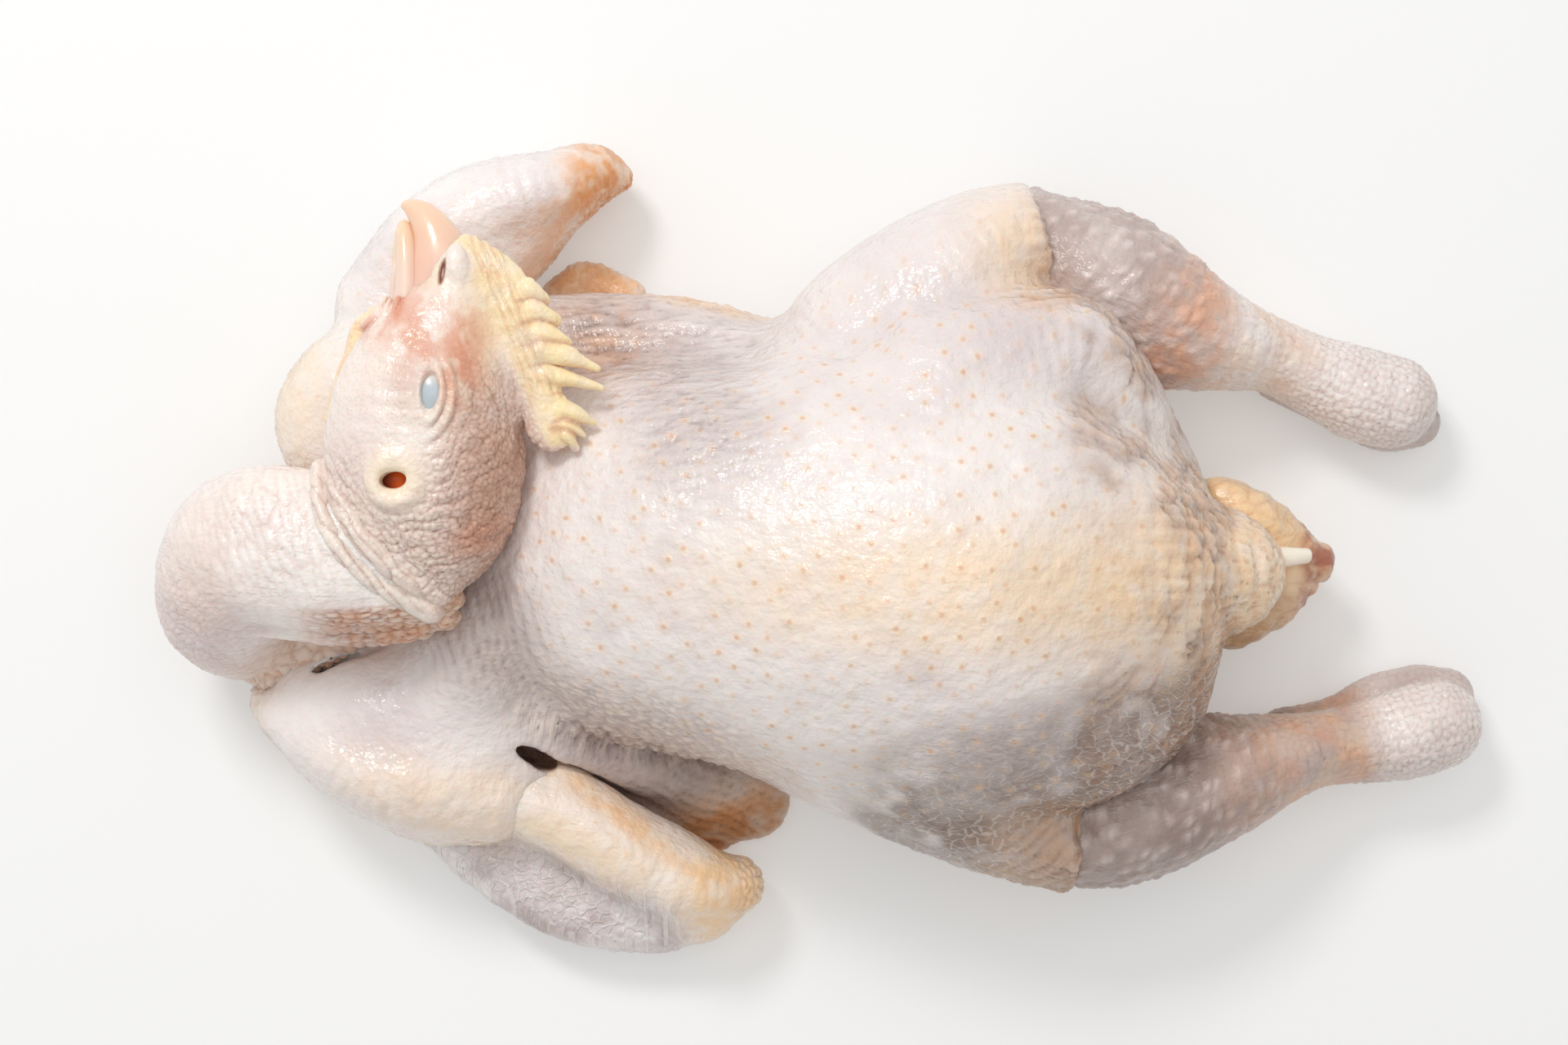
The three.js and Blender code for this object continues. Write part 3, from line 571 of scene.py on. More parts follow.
def trunk_finish(p, out, grain):
    """Waffle of wrinkles towards the tail, folds along the edges of the hips, lumps of fat at the
    flaps, beads and folds down both sides, and where the skin is fat, lilac, dusky or netted, with
    painted shade in its creases, seams and hollows and on the sides turned from the lamps."""
    x, y, z = p.T
    length, girth = grain[:, 0], grain[:, 1]
    warp, fine_warp = ripple(p, 9, 1), ripple(p, 4, 11)
    relief = 0.5 * ripple(p, 17, 2) + 0.3 * ripple(p, 7, 3) + 0.16 * ripple(p, 3.2, 4)

    # Keel and belly: bars and rows that cross into a waffle near the tail, and the rounded end.
    belly = np.clip(spot(p, (98, -6, 60), (42, 25, 60)), 0, 1)
    keel = np.clip(belly + 0.55 * spot(p, (48, -9, 100), (55, 17, 40)), 0, 1)
    bars = folds((length - 100) / 4.9 + 0.3 * warp + 0.14 * fine_warp)
    rows = folds(girth / 3.5 + 0.3 * warp + 0.12 * fine_warp)
    waffle = 0.5 * bars + 0.5 * rows
    waffled = belly * ramp(x, 54, 86) * (0.8 + 0.2 * ripple(p, 8, 19))
    relief += 2.3 * waffled * (waffle - 0.7) + 0.4 * belly * (rows - 0.7)
    trunk_end, belly_end = trunk(p), lobe(p, *BELLY_END)
    bulge = 1 - ramp(belly_end, 0.6, 2.5)
    bulge_seam = seam(trunk_end, belly_end, 2.6) * ramp(x, 80, 92) * ramp(np.abs(y + 5), 8, 13)

    # Hips: folds along their steep edges, and the crinkled skin low on the right one, darker flesh
    # with painted shade where it turns from the lamps.
    hips = np.minimum(limb(p, LEFT_HIP), limb(p, RIGHT_HIP))
    hip_seam = seam(trunk_end, hips, 3.5) * ramp(x, 50, 66)
    hip_edge = (ramp(x, 50, 64) * ramp(0.96 - out[:, 2], 0.0, 0.4) * ramp(z, 4, 12) * (1 - bulge)
                * ramp(ripple(p, 8, 14), -0.7, 0.3))
    hip_folds = pebbles((z + 0.3 * x) / 3.0 + 0.6 * warp, (y + 0.3 * z) / 9 + 0.3 * fine_warp, 16,
                        1.0)
    relief += 1.5 * hip_edge * (hip_folds - 0.5)
    right_low = (ramp(0.22 * (x - 27) - y, 33, 50) * ramp(x, -5, 20)
                 * ramp(1.02 - out[:, 2], 0, 0.25))
    # Painted shade: the low right side, turned from the lamps, is painted dark in patches.
    low_right_shade = right_low * ramp(ripple(p, 11, 17) + 0.5 * ripple(p, 5, 18), -1.1, 0.2)
    crinkle = pebbles(length / 4 + 0.5 * warp, girth / 2.4 + 0.4 * length / 4, 5, 1.0)
    relief += 0.5 * right_low * (crinkle - 0.5)

    # Sides: beads down the right one, fanned folds and one tendon down the left one.
    right_side = spot(p, (-42, -44, 45), (38, 15, 40), -14)
    beads = pebbles(length / 3.6 + 0.4 * warp, girth / 2.4 + 0.1 * length, 6, 1.0)
    fold_edge = spot(p, (-40, -50, 32), (40, 5, 16), -12)
    relief += (0.9 * right_side + 1.1 * fold_edge) * (beads - 0.5)
    beside_comb = spot(p, (-58, 52, 40), (16, 13, 26), -15)
    left_side = spot(p, (-50, 52, 30), (45, 16, 40)) + spot(p, (-30, 30, 70), (20, 20, 40))
    fan = (0.75 * y - 0.65 * z + 0.12 * x) / 2.6 + 0.7 * ripple(p, 12, 8)
    side_folds = pebbles(fan, (x + 0.1 * y) / 17, 15, 1.0)
    relief += (0.7 * left_side + 0.4 * beside_comb) * (side_folds - 0.5)
    tendon = np.exp(-((y - 56.5 + 0.16 * (x + 38)) / 0.9) ** 2) * between(x, -46, -36, -22, -12)
    relief += 0.8 * tendon * ramp(z, 26, 34)

    # Flaps that end the thighs: lumps of fat along the left rim, lines across the right one.
    left_flap = spot(p, (48, 73, 40), (15, 17, 44), 14)
    flap_rim = spot(p, (54, 74, 40), (6, 17, 44), 14)
    right_flap = spot(p, (52, -74, 30), (14, 17, 40))
    flap_lumps = pebbles(y / 3.4, z / 3.4 + x / 5, 7)
    flap_lines = folds((0.6 * x - 0.8 * y) / 3.0 + 0.5 * warp)
    crease = spot(p, (51, 61, 60), (9, 4, 16))
    relief += 1.3 * np.maximum(flap_rim, crease) * (flap_lumps - 0.5)
    relief += 0.6 * right_flap * (flap_lines - 0.5)

    # Right upper arm's pad, the hollow between it and the side, and the frilled edges of skin.
    pad = np.clip(spot(p, (-98, -62, 40), (26, 11, 40), -22)
                  + spot(p, (-82, -63, 35), (12, 10, 30)), 0, 1)
    arm_edge = (ramp(p @ np.array([-0.45, -0.89, 0]), 84, 94) * (1 - ramp(z, 24, 34))
                * (1 - ramp(x, -70, -50)))
    relief += 0.3 * pad * ripple(p, 3, 9)
    relief += 0.8 * arm_edge * (pebbles(x / 2.8, (y + z) / 2.8, 10) - 0.4)
    # The hollow between the right arm and the side is painted dark below as painted shade, darkest
    # at one spot low beside the skirt.
    hollow = ramp(-y, 46, 56) * between(x, -84, -70, -30, 4) * (1 - ramp(z, 12, 30))
    web_lines = folds((0.45 * x + 0.89 * y) / 2.6 + 0.6 * warp)
    relief += 0.8 * hollow * ramp(x, -66, -50) * (web_lines - 0.5)
    slope = spot(p, (-60, -51, 24), (15, 7, 14), -22)
    darkest_shade = spot(p, (-46, -67, 8), (13, 6, 14), -28)
    apron = spot(p, (-20, -73, 4), (21, 11, 18), 12)
    left_edge = spot(p, (-27, 62.5, 20), (22, 4, 16), -14)
    left_apron = spot(p, (-61, 69, 8), (16, 8, 10), -10)
    frills = pebbles(x / 2.6 + 0.3 * warp, y / 3.4, 13, 1.0)
    relief += (1.1 * left_apron + 0.7 * left_edge) * (frills - 0.5)
    # The armpit's hole and the gap under the neck's flap are painted dark below: painted shade.
    pit = (1 - ramp(lobe(p, *ARMPIT), -0.2, 1.2)) * (1 - ramp(z, 35, 39))
    flap_gap = 1 - ramp(limb(p, FLAP_GAP), -0.2, 1.2)
    root = spot(p, (-84, -19, 45), (17, 15, 34), -30)
    root_lines = folds((x + 0.3 * y) / 3.0 + 0.6 * ripple(p, 10, 12))
    relief += root * (root_lines - 0.5)

    # Marks. dusky: darker flesh together with painted shade low on the right, on the steep hip
    # edges, in the hollow by the right arm, at the neck's root and along the seams. The crease
    # mark: painted shade in the armpit's hole, the gap under the neck's flap, the hollow, the seams
    # and the valleys of folds, beads and waffle. flushed in the waffle's valleys and along the
    # belly's seam is partly painted shade.
    return relief, {
        "fleshy": 0.35 * ramp(y, 44, 66) * ramp(x, -10, 10)
        + 0.9 * ramp(-y, 26, 50) * ramp(x, 10, 40) * (1 - 0.8 * belly) + 0.6 * right_side
        + 0.45 * spot(p, (20, 45, 85), (30, 16, 40)) + 0.5 * left_side + 0.5 * root + 0.8 * slope
        + 0.6 * spot(p, (52, 52, 80), (20, 14, 40), -30)
        + 0.6 * spot(p, (-108, -46, 44), (16, 10, 12), -12)
        + 0.4 * spot(p, (21, -28, 98), (6, 5, 40)),
        "dusky": 1.35 * low_right_shade * (1 - 0.5 * ramp(z, 56, 88)) * (1 - 0.5 * right_flap)
        + 0.45 * hip_edge + 0.8 * hollow * (1 - apron) * (1 - 0.8 * slope) + 0.15 * right_side
        + 0.55 * root + 0.2 * left_side * (1 - tendon) + 0.3 * hip_seam
        + 0.25 * spot(p, (92, -24, 50), (14, 12, 30)),
        "fatty": 0.9 * keel * (1 - 0.4 * hip_edge) + 0.75 * left_flap + 0.8 * right_flap + 0.5 * pad
        + 1.2 * apron + 0.3 * spot(p, (0, -8, 104), (60, 14, 30)) + left_edge + left_apron
        + 0.4 * arm_edge + 0.35 * right_side * beads,
        "flushed": 0.25 * hollow * (1 - ramp(x, -70, -40)) + 0.5 * beside_comb + 0.1 * flap_rim
        + 0.4 * crease + 0.25 * hip_edge + 0.8 * left_apron + 0.6 * left_edge + 1.3 * apron
        + 0.6 * waffled * (1 - waffle) + 0.04 * keel + 0.4 * right_flap + 0.3 * bulge_seam,
        "deep": 0.95 * pit + 0.3 * flap_gap + 0.35 * hollow * darkest_shade + 0.15 * slope
        + (0.35 * right_side + 0.4 * fold_edge) * (1 - beads) + 0.1 * fold_edge
        + 0.1 * waffled * (1 - waffle) ** 2 + 0.45 * hip_edge * (1 - hip_folds) ** 1.5
        + 0.4 * root * (1 - root_lines) + (0.06 * flap_rim + 0.25 * crease) * (1 - flap_lumps)
        + 0.3 * right_flap * (1 - flap_lines) + 0.45 * right_flap + 0.45 * apron
        + (0.35 * left_side + 0.3 * beside_comb) * (1 - side_folds) ** 2 + 0.12 * beside_comb
        + 0.35 * hollow * (1 - web_lines) + 0.4 * bulge_seam + 0.2 * hip_seam,
        "dotted": 0.75 * ramp(z, 45, 75) * (1 - 0.8 * ramp(x, 85, 98))
        * (1 - 0.5 * ramp(x, 40, 70) * belly),
        "netted": right_low * (1 - 0.6 * ramp(z, 66, 90))
        * (1 - 0.7 * ramp(x, 40, 52) * ramp(-y, 62, 70)),
        "creased": 0.15 + 0.4 * right_side + 0.35 * left_side + 0.35 * right_flap + 0.4 * right_low}


# Its dusk colour is the brown-grey of dusky flesh and painted shade; its last colour is the dark
# red-brown of painted shade in creases and holes.
trunk_skin = skin_material("trunk_skin", rgb(243, 234, 230), rgb(216, 203, 204), rgb(251, 220, 182),
                           flush=rgb(234, 174, 120), dusk_and_shade=rgb(146, 124, 112), painted_shade_colour=rgb(106, 50, 34))
skin_piece("trunk", trunk_flesh, (-146, -100, -2), (116, 106, 112), 1.17, trunk_grain,
           trunk_finish, trunk_skin)

# Drumsticks and hocks: lilac flesh under thin skin with pale lobules of fat, then the scaly,
# pinkish-white hocks where the feet were taken off.
LEFT_LEG = [(52, 76, 24, 15, 22), (64, 70, 25, 18, 25), (77, 64, 25, 18.5, 25.5),
            (89, 57, 23, 16, 23), (102, 53, 20, 12.5, 18), (114, 50, 17, 9.5, 13),
            (126, 45, 15, 10, 12), (138, 40, 14, 11.8, 13), (145.5, 38, 13.5, 11.8, 12.5)]
RIGHT_LEG = [(58, -69, 25, 14, 23), (68, -67, 26, 18, 26), (81, -64, 25, 18, 25.5),
             (98, -58, 23, 16, 23), (113, -54, 20, 12, 18), (127, -51, 17, 9.5, 13),
             (141, -49, 15, 10.5, 12), (153, -46, 14, 12, 13), (157.5, -45, 13.5, 11.5, 12.5)]
# The slack fold of skin along the inner side of each hock.
LEFT_FOLD = [(116, 42, 6, 2.5, 5), (127, 38, 6, 4, 6), (137, 34.5, 7, 5.5, 7),
             (146, 32, 7, 6.5, 8), (153, 33, 8, 6.5, 8)]
RIGHT_FOLD = [(118, -44, 6, 2.5, 5), (134, -42, 7, 4.5, 7), (143, -38.5, 8, 6, 8.5),
              (153, -37, 8, 7, 9), (161, -38, 8.5, 7, 9)]


def limb_grain(stations):
    """Length along a limb, and girth from its top: the angle round it times its half width."""
    path = smooth_path(stations, 60)
    run = np.concatenate([[0], np.cumsum(np.linalg.norm(np.diff(path[:, :3], axis=0), axis=1))])
    way = np.gradient(path[:, :3], axis=0)
    side = np.stack([way[:, 1], -way[:, 0]], 1)
    side /= np.linalg.norm(side, axis=1)[:, None] + 1e-9

    def measure(p):
        best = np.full(len(p), 1e9)
        length, girth = np.zeros(len(p)), np.zeros(len(p))
        for k in range(len(path) - 1):
            a, b = path[k, :3], path[k + 1, :3]
            along = (p - a) @ (b - a) / ((b - a) @ (b - a))
            t = np.clip(along, 0, 1)
            away = p - a - t[:, None] * (b - a)
            gap = (away**2).sum(1)
            t = np.clip(along, 0 if k else -99, 1 if k < len(path) - 2 else 99)
            nearer = gap < best
            best = np.where(nearer, gap, best)
            angle = np.arctan2(away[:, :2] @ side[k], away[:, 2])
            length = np.where(nearer, run[k] + t * (run[k + 1] - run[k]), length)
            girth = np.where(nearer, angle * (path[k, 3] + path[k, 4]) / 2, girth)
        return np.stack([length, girth, np.sqrt(best)], 1)

    return measure


def leg(name, low, high, stations, fold, hock_from, seed, dusk_and_shade):
    """A leg: its hock starts hock_from millimetres along it, and its last number is how dark its
    flesh is painted, darker flesh together with painted shadow from the trunk.
    """
    def finish(p, out, grain):
        """Soft pale lobules of fat in slanting rows on the drumstick, pebbles at the ankle, and
        rows of rounded scales over the hock."""
        s, girth = grain[:, 0], grain[:, 1]
        warp = ripple(p, 10, seed + 9)
        ankle_from, ankle_full = hock_from - 30, hock_from - 14
        drum = between(s, -12, -6, ankle_from, ankle_full)
        ankle = between(s, ankle_from, ankle_full, hock_from, hock_from + 14)
        hock = ramp(s, hock_from - 4, hock_from + 14)
        first, _ = cells(s / 4.4 + 0.07 * girth + 0.3 * warp, girth / 5 + 0.3 * warp, seed, 0.8)
        domes = np.exp(-((first / 0.3) ** 2)) * ramp(ripple(p, 8, seed + 7), -1.1, 0.2)
        streaks = pebbles(s / 2.0 + 0.5 * warp, girth / 8, seed + 4, 1.0)
        stones = pebbles(s / 2.7, girth / 2.5, seed + 3, 1.0)
        scales = pebbles(s / 1.9 + 0.15 * warp, girth / 2.5 + 0.15 * warp, seed + 5, 0.7)
        slack = 1 - ramp(limb(p, fold), 0.3, 1.6)
        relief = drum * (0.8 * domes + 0.25 * (streaks - 0.5)) + 0.4 * ankle * (stones - 0.5)
        relief += 0.6 * hock * (1 - 0.6 * slack) * (scales - 0.5)
        relief += 0.4 * ripple(p, 12, seed) + 0.15 * ripple(p, 5, seed + 1)
        # Marks: a dusky leg's darker flesh carries painted shadow too; painted shade lies between
        # the lobules, stones and scales and over a dusky leg's ankle.
        return relief, {
            "fleshy": drum * (1.0 - 0.65 * domes) + 0.1 + 0.6 * slack,
            "fatty": (0.25 + 0.4 * dusk_and_shade) * ankle * ramp(ripple(p, 7, seed + 6), -0.5, 0.4),
            "dusky": dusk_and_shade * drum * (1 - 0.45 * domes) + (0.8 * dusk_and_shade - 0.16) * ankle + 0.25 * slack,
            "flushed": (0.05 + 0.9 * dusk_and_shade) * ankle * ramp(ripple(p, 9, seed + 2), -0.6, 0.5)
            + (1.0 - dusk_and_shade) * drum * ramp(s, hock_from - 46, ankle_from),
            "deep": 0.08 * drum * (1 - streaks) + 0.12 * ankle * (1 - stones) ** 2
            + 0.6 * (dusk_and_shade - 0.2) * ankle + 0.35 * hock * (1 - scales) ** 2,
            "creased": 0.2 + 0.2 * drum, "scaly": 0.15 * ankle}

    skin_piece(name, lambda p: melt(limb(p, stations), limb(p, fold), 1.5), low, high, 0.66,
               limb_grain(stations), finish, leg_skin)


# Its dusk colour serves darker flesh and painted shadow; its last colour is painted shade between
# lobules and scales.
leg_skin = skin_material("leg_skin", rgb(247, 237, 232), rgb(200, 180, 174), rgb(251, 222, 186),
                         flush=rgb(238, 180, 146), dusk_and_shade=rgb(144, 122, 112), painted_shade_colour=rgb(160, 110, 88))
# The right leg is painted darker than the left, partly as the shadow of the trunk.
leg("left_leg", (34, 16, -2), (164, 98, 54), LEFT_LEG, LEFT_FOLD, 70, 21, 0.2)
leg("right_leg", (42, -90, -2), (176, -26, 56), RIGHT_LEG, RIGHT_FOLD, 76, 31, 0.75)

# Tail: the fatty apricot parson's nose with its brown tip, and the end of cartilage over it.
TAIL = [(96, -4, 21, 22, 14), (104, -4, 21, 20, 13), (113, -4, 21, 13.5, 10), (121, -3, 21, 7.5, 7),
        (125, -3, 21, 5, 5)]
TAIL_TIPS = [[(122, -1.5, 21, 3.5, 4), (127.5, -0.6, 21, 2.3, 3.4)],
             [(122, -4.5, 21, 3.5, 4), (127, -6.0, 20, 2.3, 3.4)]]
TAIL_CUSHION = ((106, 9, 26), (13, 7, 10), -35)


def tail_flesh(p):
    """Distance to the tail with its cushion and its two tips."""
    d = melt(limb(p, TAIL), lobe(p, *TAIL_CUSHION), 2.5)
    for tip in TAIL_TIPS:
        d = melt(d, limb(p, tip, 6), 0.8)
    return d


def tail_finish(p, out, grain):
    """Lumpy fat, finer and redder at the tip, painted browner on its lower side as shade, with
    painted shade between the lumps.
    """
    tip = ramp(p[:, 0], 118, 123.5)
    low = ramp(-p[:, 1], 4, 14)
    lumps = pebbles(p[:, 0] / 6 + 0.4 * ripple(p, 8, 44), p[:, 1] / 4, 43)
    relief = 0.45 * ripple(p, 7, 41) + 0.35 * ripple(p, 3, 42) * (1 + tip) + 0.5 * (lumps - 0.5)
    return relief, {"fatty": 0.9 - 0.5 * low, "flushed": tip, "creased": 0.3,
                    "dusky": low * (1 - tip), "deep": 0.3 * (1 - lumps) ** 2}


# Its dusk colour is the painted shade of the tail's lower side; its last colour is painted shade
# between the lumps.
tail_skin = skin_material("tail_skin", rgb(244, 222, 198), rgb(208, 184, 164), rgb(252, 214, 166),
                          flush=rgb(172, 108, 86), dusk_and_shade=rgb(172, 138, 108), painted_shade_colour=rgb(196, 128, 78))
skin_piece("tail", tail_flesh, (70, -36, -2), (134, 28, 40), 0.62, limb_grain(TAIL),
           tail_finish, tail_skin)

# Left wing: shoulder, upper arm up and out with its yellow tip, and the web behind it.
LEFT_SHOULDER = ((-111, 35, 26), (28, 24, 21), 20)
LEFT_ARM = [(-113, 64, 20, 9.5, 14), (-104, 74, 21, 11.5, 19), (-86, 85, 22, 13, 19.5),
            (-69, 91, 19, 10.5, 19), (-58, 96, 15, 7, 14), (-52.5, 95.5, 13, 3.5, 7)]
LEFT_WEB = [(-105, 55, 22, 18, 18), (-89, 69, 22, 13, 15), (-76, 79, 20, 9, 12)]


def left_wing_flesh(p):
    """Distance to the left wing: the arm and its web, then the shoulder."""
    arm = melt(limb(p, LEFT_ARM), limb(p, LEFT_WEB), 8)
    return melt(lobe(p, *LEFT_SHOULDER), arm, 4)


def left_wing_finish(p, out, grain):
    """Smooth white skin, yellow at the tip and on the shoulder, tan and darker on the side that
    faces the tail, painted shade turned from the lamps, with small bumps along the edges and
    painted shade between them."""
    x, y, z = p.T
    tip = spot(p, (-55, 93, 20), (10, 13, 26), 20)
    shoulder = spot(p, (-132, 40, 30), (11, 25, 30))
    # Painted shade: the side that faces the tail and away from the lamps is painted tan, orange and
    # darker.
    inner = ramp(out @ np.array([0.62, -0.72, -0.3]), 0.1, 0.8) * ramp(x, -106, -90)
    edge = ramp(0.5 - out[:, 2], 0, 0.4)
    bumps = pebbles((x + y) / 2.6, (z + 0.5 * x - 0.5 * y) / 2.6, 53, 1.0)
    relief = 0.45 * ripple(p, 14, 51) + 0.25 * ripple(p, 5, 52)
    relief += (0.3 * tip + 0.6 * edge + 0.3 * shoulder) * (bumps - 0.5)
    return relief, {
        "fleshy": 0.4 * ramp(ripple(p, 15, 54), -0.2, 0.6),
        "fatty": 0.8 * tip + 0.6 * shoulder + 0.5 * inner, "flushed": 0.5 * inner + 1.1 * tip,
        "dusky": 0.35 * inner * (1 - ramp(x, -86, -70)),
        "deep": 0.12 * inner + 0.1 * edge * (1 - bumps), "creased": 0.2, "dotted": 0.25}


def flat_grain(p):
    """Lengths along X and Y, carried on down the sides."""
    return np.stack([p[:, 0], p[:, 1] - 0.9 * p[:, 2], 0 * p[:, 0]], 1)


# Its dusk colour serves grey flesh and painted shade; its last colour is painted shade in pits,
# holes and hollows.
wing_skin = skin_material("wing_skin", rgb(248, 240, 237), rgb(224, 212, 212), rgb(252, 222, 182),
                          flush=rgb(238, 158, 84), dusk_and_shade=rgb(164, 142, 132), painted_shade_colour=rgb(146, 104, 84))
skin_piece("left_wing", left_wing_flesh, (-148, 4, -2), (-42, 112, 54), 0.8, flat_grain,
           left_wing_finish, wing_skin)

# Right forearm and hand: folded back along the body from under the pad of the upper arm.
RIGHT_FOREARM = [(-80, -59, 24, 11, 13), (-60, -70, 24, 11, 13), (-43, -80, 21, 11.5, 13.5),
                 (-31, -86, 16, 10.5, 15), (-23, -86, 14, 7.5, 11)]
RIGHT_HAND = [(-98, -72, 9, 6.5, 10), (-82, -79, 10, 11.5, 11), (-60, -89, 10, 13.5, 11),
              (-44, -92, 10, 12, 11), (-33, -92, 10, 9.5, 11)]
RIGHT_TENDON = [(-77, -52, 24, 2.6, 8), (-66, -55.5, 24, 2.4, 8), (-56, -64, 20, 2.4, 8),
                (-44, -73, 15, 2.6, 8)]


def right_wing_flesh(p):
    """Distance to the forearm, the hand beside it and the tendon, less the hole of the armpit."""
    d = melt_limbs(limb(p, RIGHT_FOREARM), p, (RIGHT_HAND, 7), (RIGHT_TENDON, 4))
    return cut(d, -lobe(p, *ARMPIT), 2)


def right_wing_finish(p, out, grain):
    """Smooth cream forearm, wet grey hand with dark pin holes painted as shade in their pits, a
    frilled yellow tip painted darker low down as shade, and the armpit's hole painted dark as
    shade.
    """
    x, y, z = p.T
    tip = spot(p, (-25, -88, 20), (11, 15, 30), -10)
    frill = spot(p, (-18, -86, 12), (6, 14, 18))
    hand = ramp(-y - 0.35 * x, 96, 106) * (1 - tip)
    lumps = pebbles(y / 2.6, (z - x) / 3.2, 62)
    strokes = pebbles((0.8 * x - 0.6 * y) / 4.2 + 0.4 * ripple(p, 6, 66),
                      (0.6 * x + 0.8 * y) / 2.2, 63)
    relief = 0.45 * ripple(p, 14, 61) + 0.25 * ripple(p, 5, 64)
    relief += 1.1 * frill * (lumps - 0.4) + 0.35 * hand * (strokes - 0.5)
    pit = 1 - ramp(lobe(p, *ARMPIT), -0.2, 1.2)
    pin_holes = np.exp(-((cells(x / 3.5, (y - z) / 3.5, 68, 1.0)[0] / 0.12) ** 2))
    lit_edge = spot(p, (-52, -66, 26), (26, 3.5, 14), -38)
    outer = ramp(-y - 0.35 * x, 108, 116)
    # Marks: painted shade in the armpit's hole, in the pin holes, between the frill's lumps, low on
    # the tip and along the outer edge; the dusky hand is partly grey flesh.
    return relief, {
        "fleshy": 0.9 * hand * ramp(ripple(p, 8, 67), -0.8, 0.4) + 0.1, "netted": hand,
        "fatty": tip + 0.6 * lit_edge + 0.3 * (1 - hand)
        + 0.4 * spot(p, (-62, -76, 36), (26, 8, 16), -28),
        "dusky": (0.35 * hand + 0.2 * outer) * ramp(ripple(p, 6, 65), -0.5, 0.6) * (1 - tip)
        + 0.35 * tip * (1 - ramp(z, 6, 16)),
        "flushed": 0.35 * lit_edge + 0.25 * tip,
        "deep": 0.1 * hand * (1 - strokes) ** 2 + 0.25 * frill * (1 - lumps) + 0.95 * pit
        + 0.3 * hand * pin_holes,
        "creased": 0.2 + 0.2 * hand, "dotted": 0.35 * (1 - tip) * (1 - hand)}


skin_piece("right_wing", right_wing_flesh, (-112, -112, -2), (-8, -40, 44), 0.6, flat_grain,
           right_wing_finish, wing_skin)

# Neck: it leaves the breast low, bends round to the left in a wide fold and comes back over itself,
# all slack wrinkled skin. The lower turn has a thin scalloped edge with a dark gap under it.
NECK = [(-88, -4, 32, 12, 20), (-104, -7, 27, 14, 19), (-118, -11, 23, 15, 19),
        (-137, -17, 19, 17, 19), (-146, -14, 26, 19, 20), (-146, -6, 42, 19.5, 19),
        (-139, 1, 54, 19.5, 16), (-124, 0, 60, 19.5, 15), (-110, -1, 61, 18, 13.5),
        (-102, -2, 60, 16, 12)]
NECK_GAP = [(-146, -41, 5, 4, 5), (-128, -33, 7, 5, 6), (-108, -27, 12, 5, 7)]
NECK_FLAP = [(-102, -15, 37, 4, 2.6), (-115, -19.5, 34, 4.6, 2.6), (-128, -25.5, 31, 5, 2.8),
             (-141, -30.5, 26, 5, 4)]
NECK_LIP = [(-144, -18.6, 50, 1.2, 3), (-130, -19.8, 56, 1.9, 3.4), (-114, -20.4, 57, 2.1, 3.4),
            (-98, -19, 56, 2.0, 3.4)]
ROLL_ENDS = [((-92.0, -11.5, 58), (4.2, 3.2, 6)), ((-92.5, -16.0, 56), (3.8, 3.0, 5)),
             ((-97.5, -17.5, 55), (3.5, 2.2, 5))]


def neck_flesh(p):
    """Distance to the neck with the rolls at its end and both thin edges, less the gap under it."""
    d = limb(p, NECK, 34)
    for end in ROLL_ENDS:
        d = melt(d, lobe(p, *end), 1.2)
    return cut(melt_limbs(d, p, (NECK_LIP, 1.5), (NECK_FLAP, 1.5)), -limb(p, NECK_GAP), 2)


def neck_grain(p):
    """Lengths along X and Y over the top of the neck's loop, carried on down its sides."""
    drop = 0.8 * (60 - p[:, 2])
    side = p[:, 1] / (np.abs(p[:, 1]) + 4)
    return np.stack([p[:, 0] - drop * ramp(-p[:, 0], 138, 158), p[:, 1] + side * drop, 0 * drop], 1)


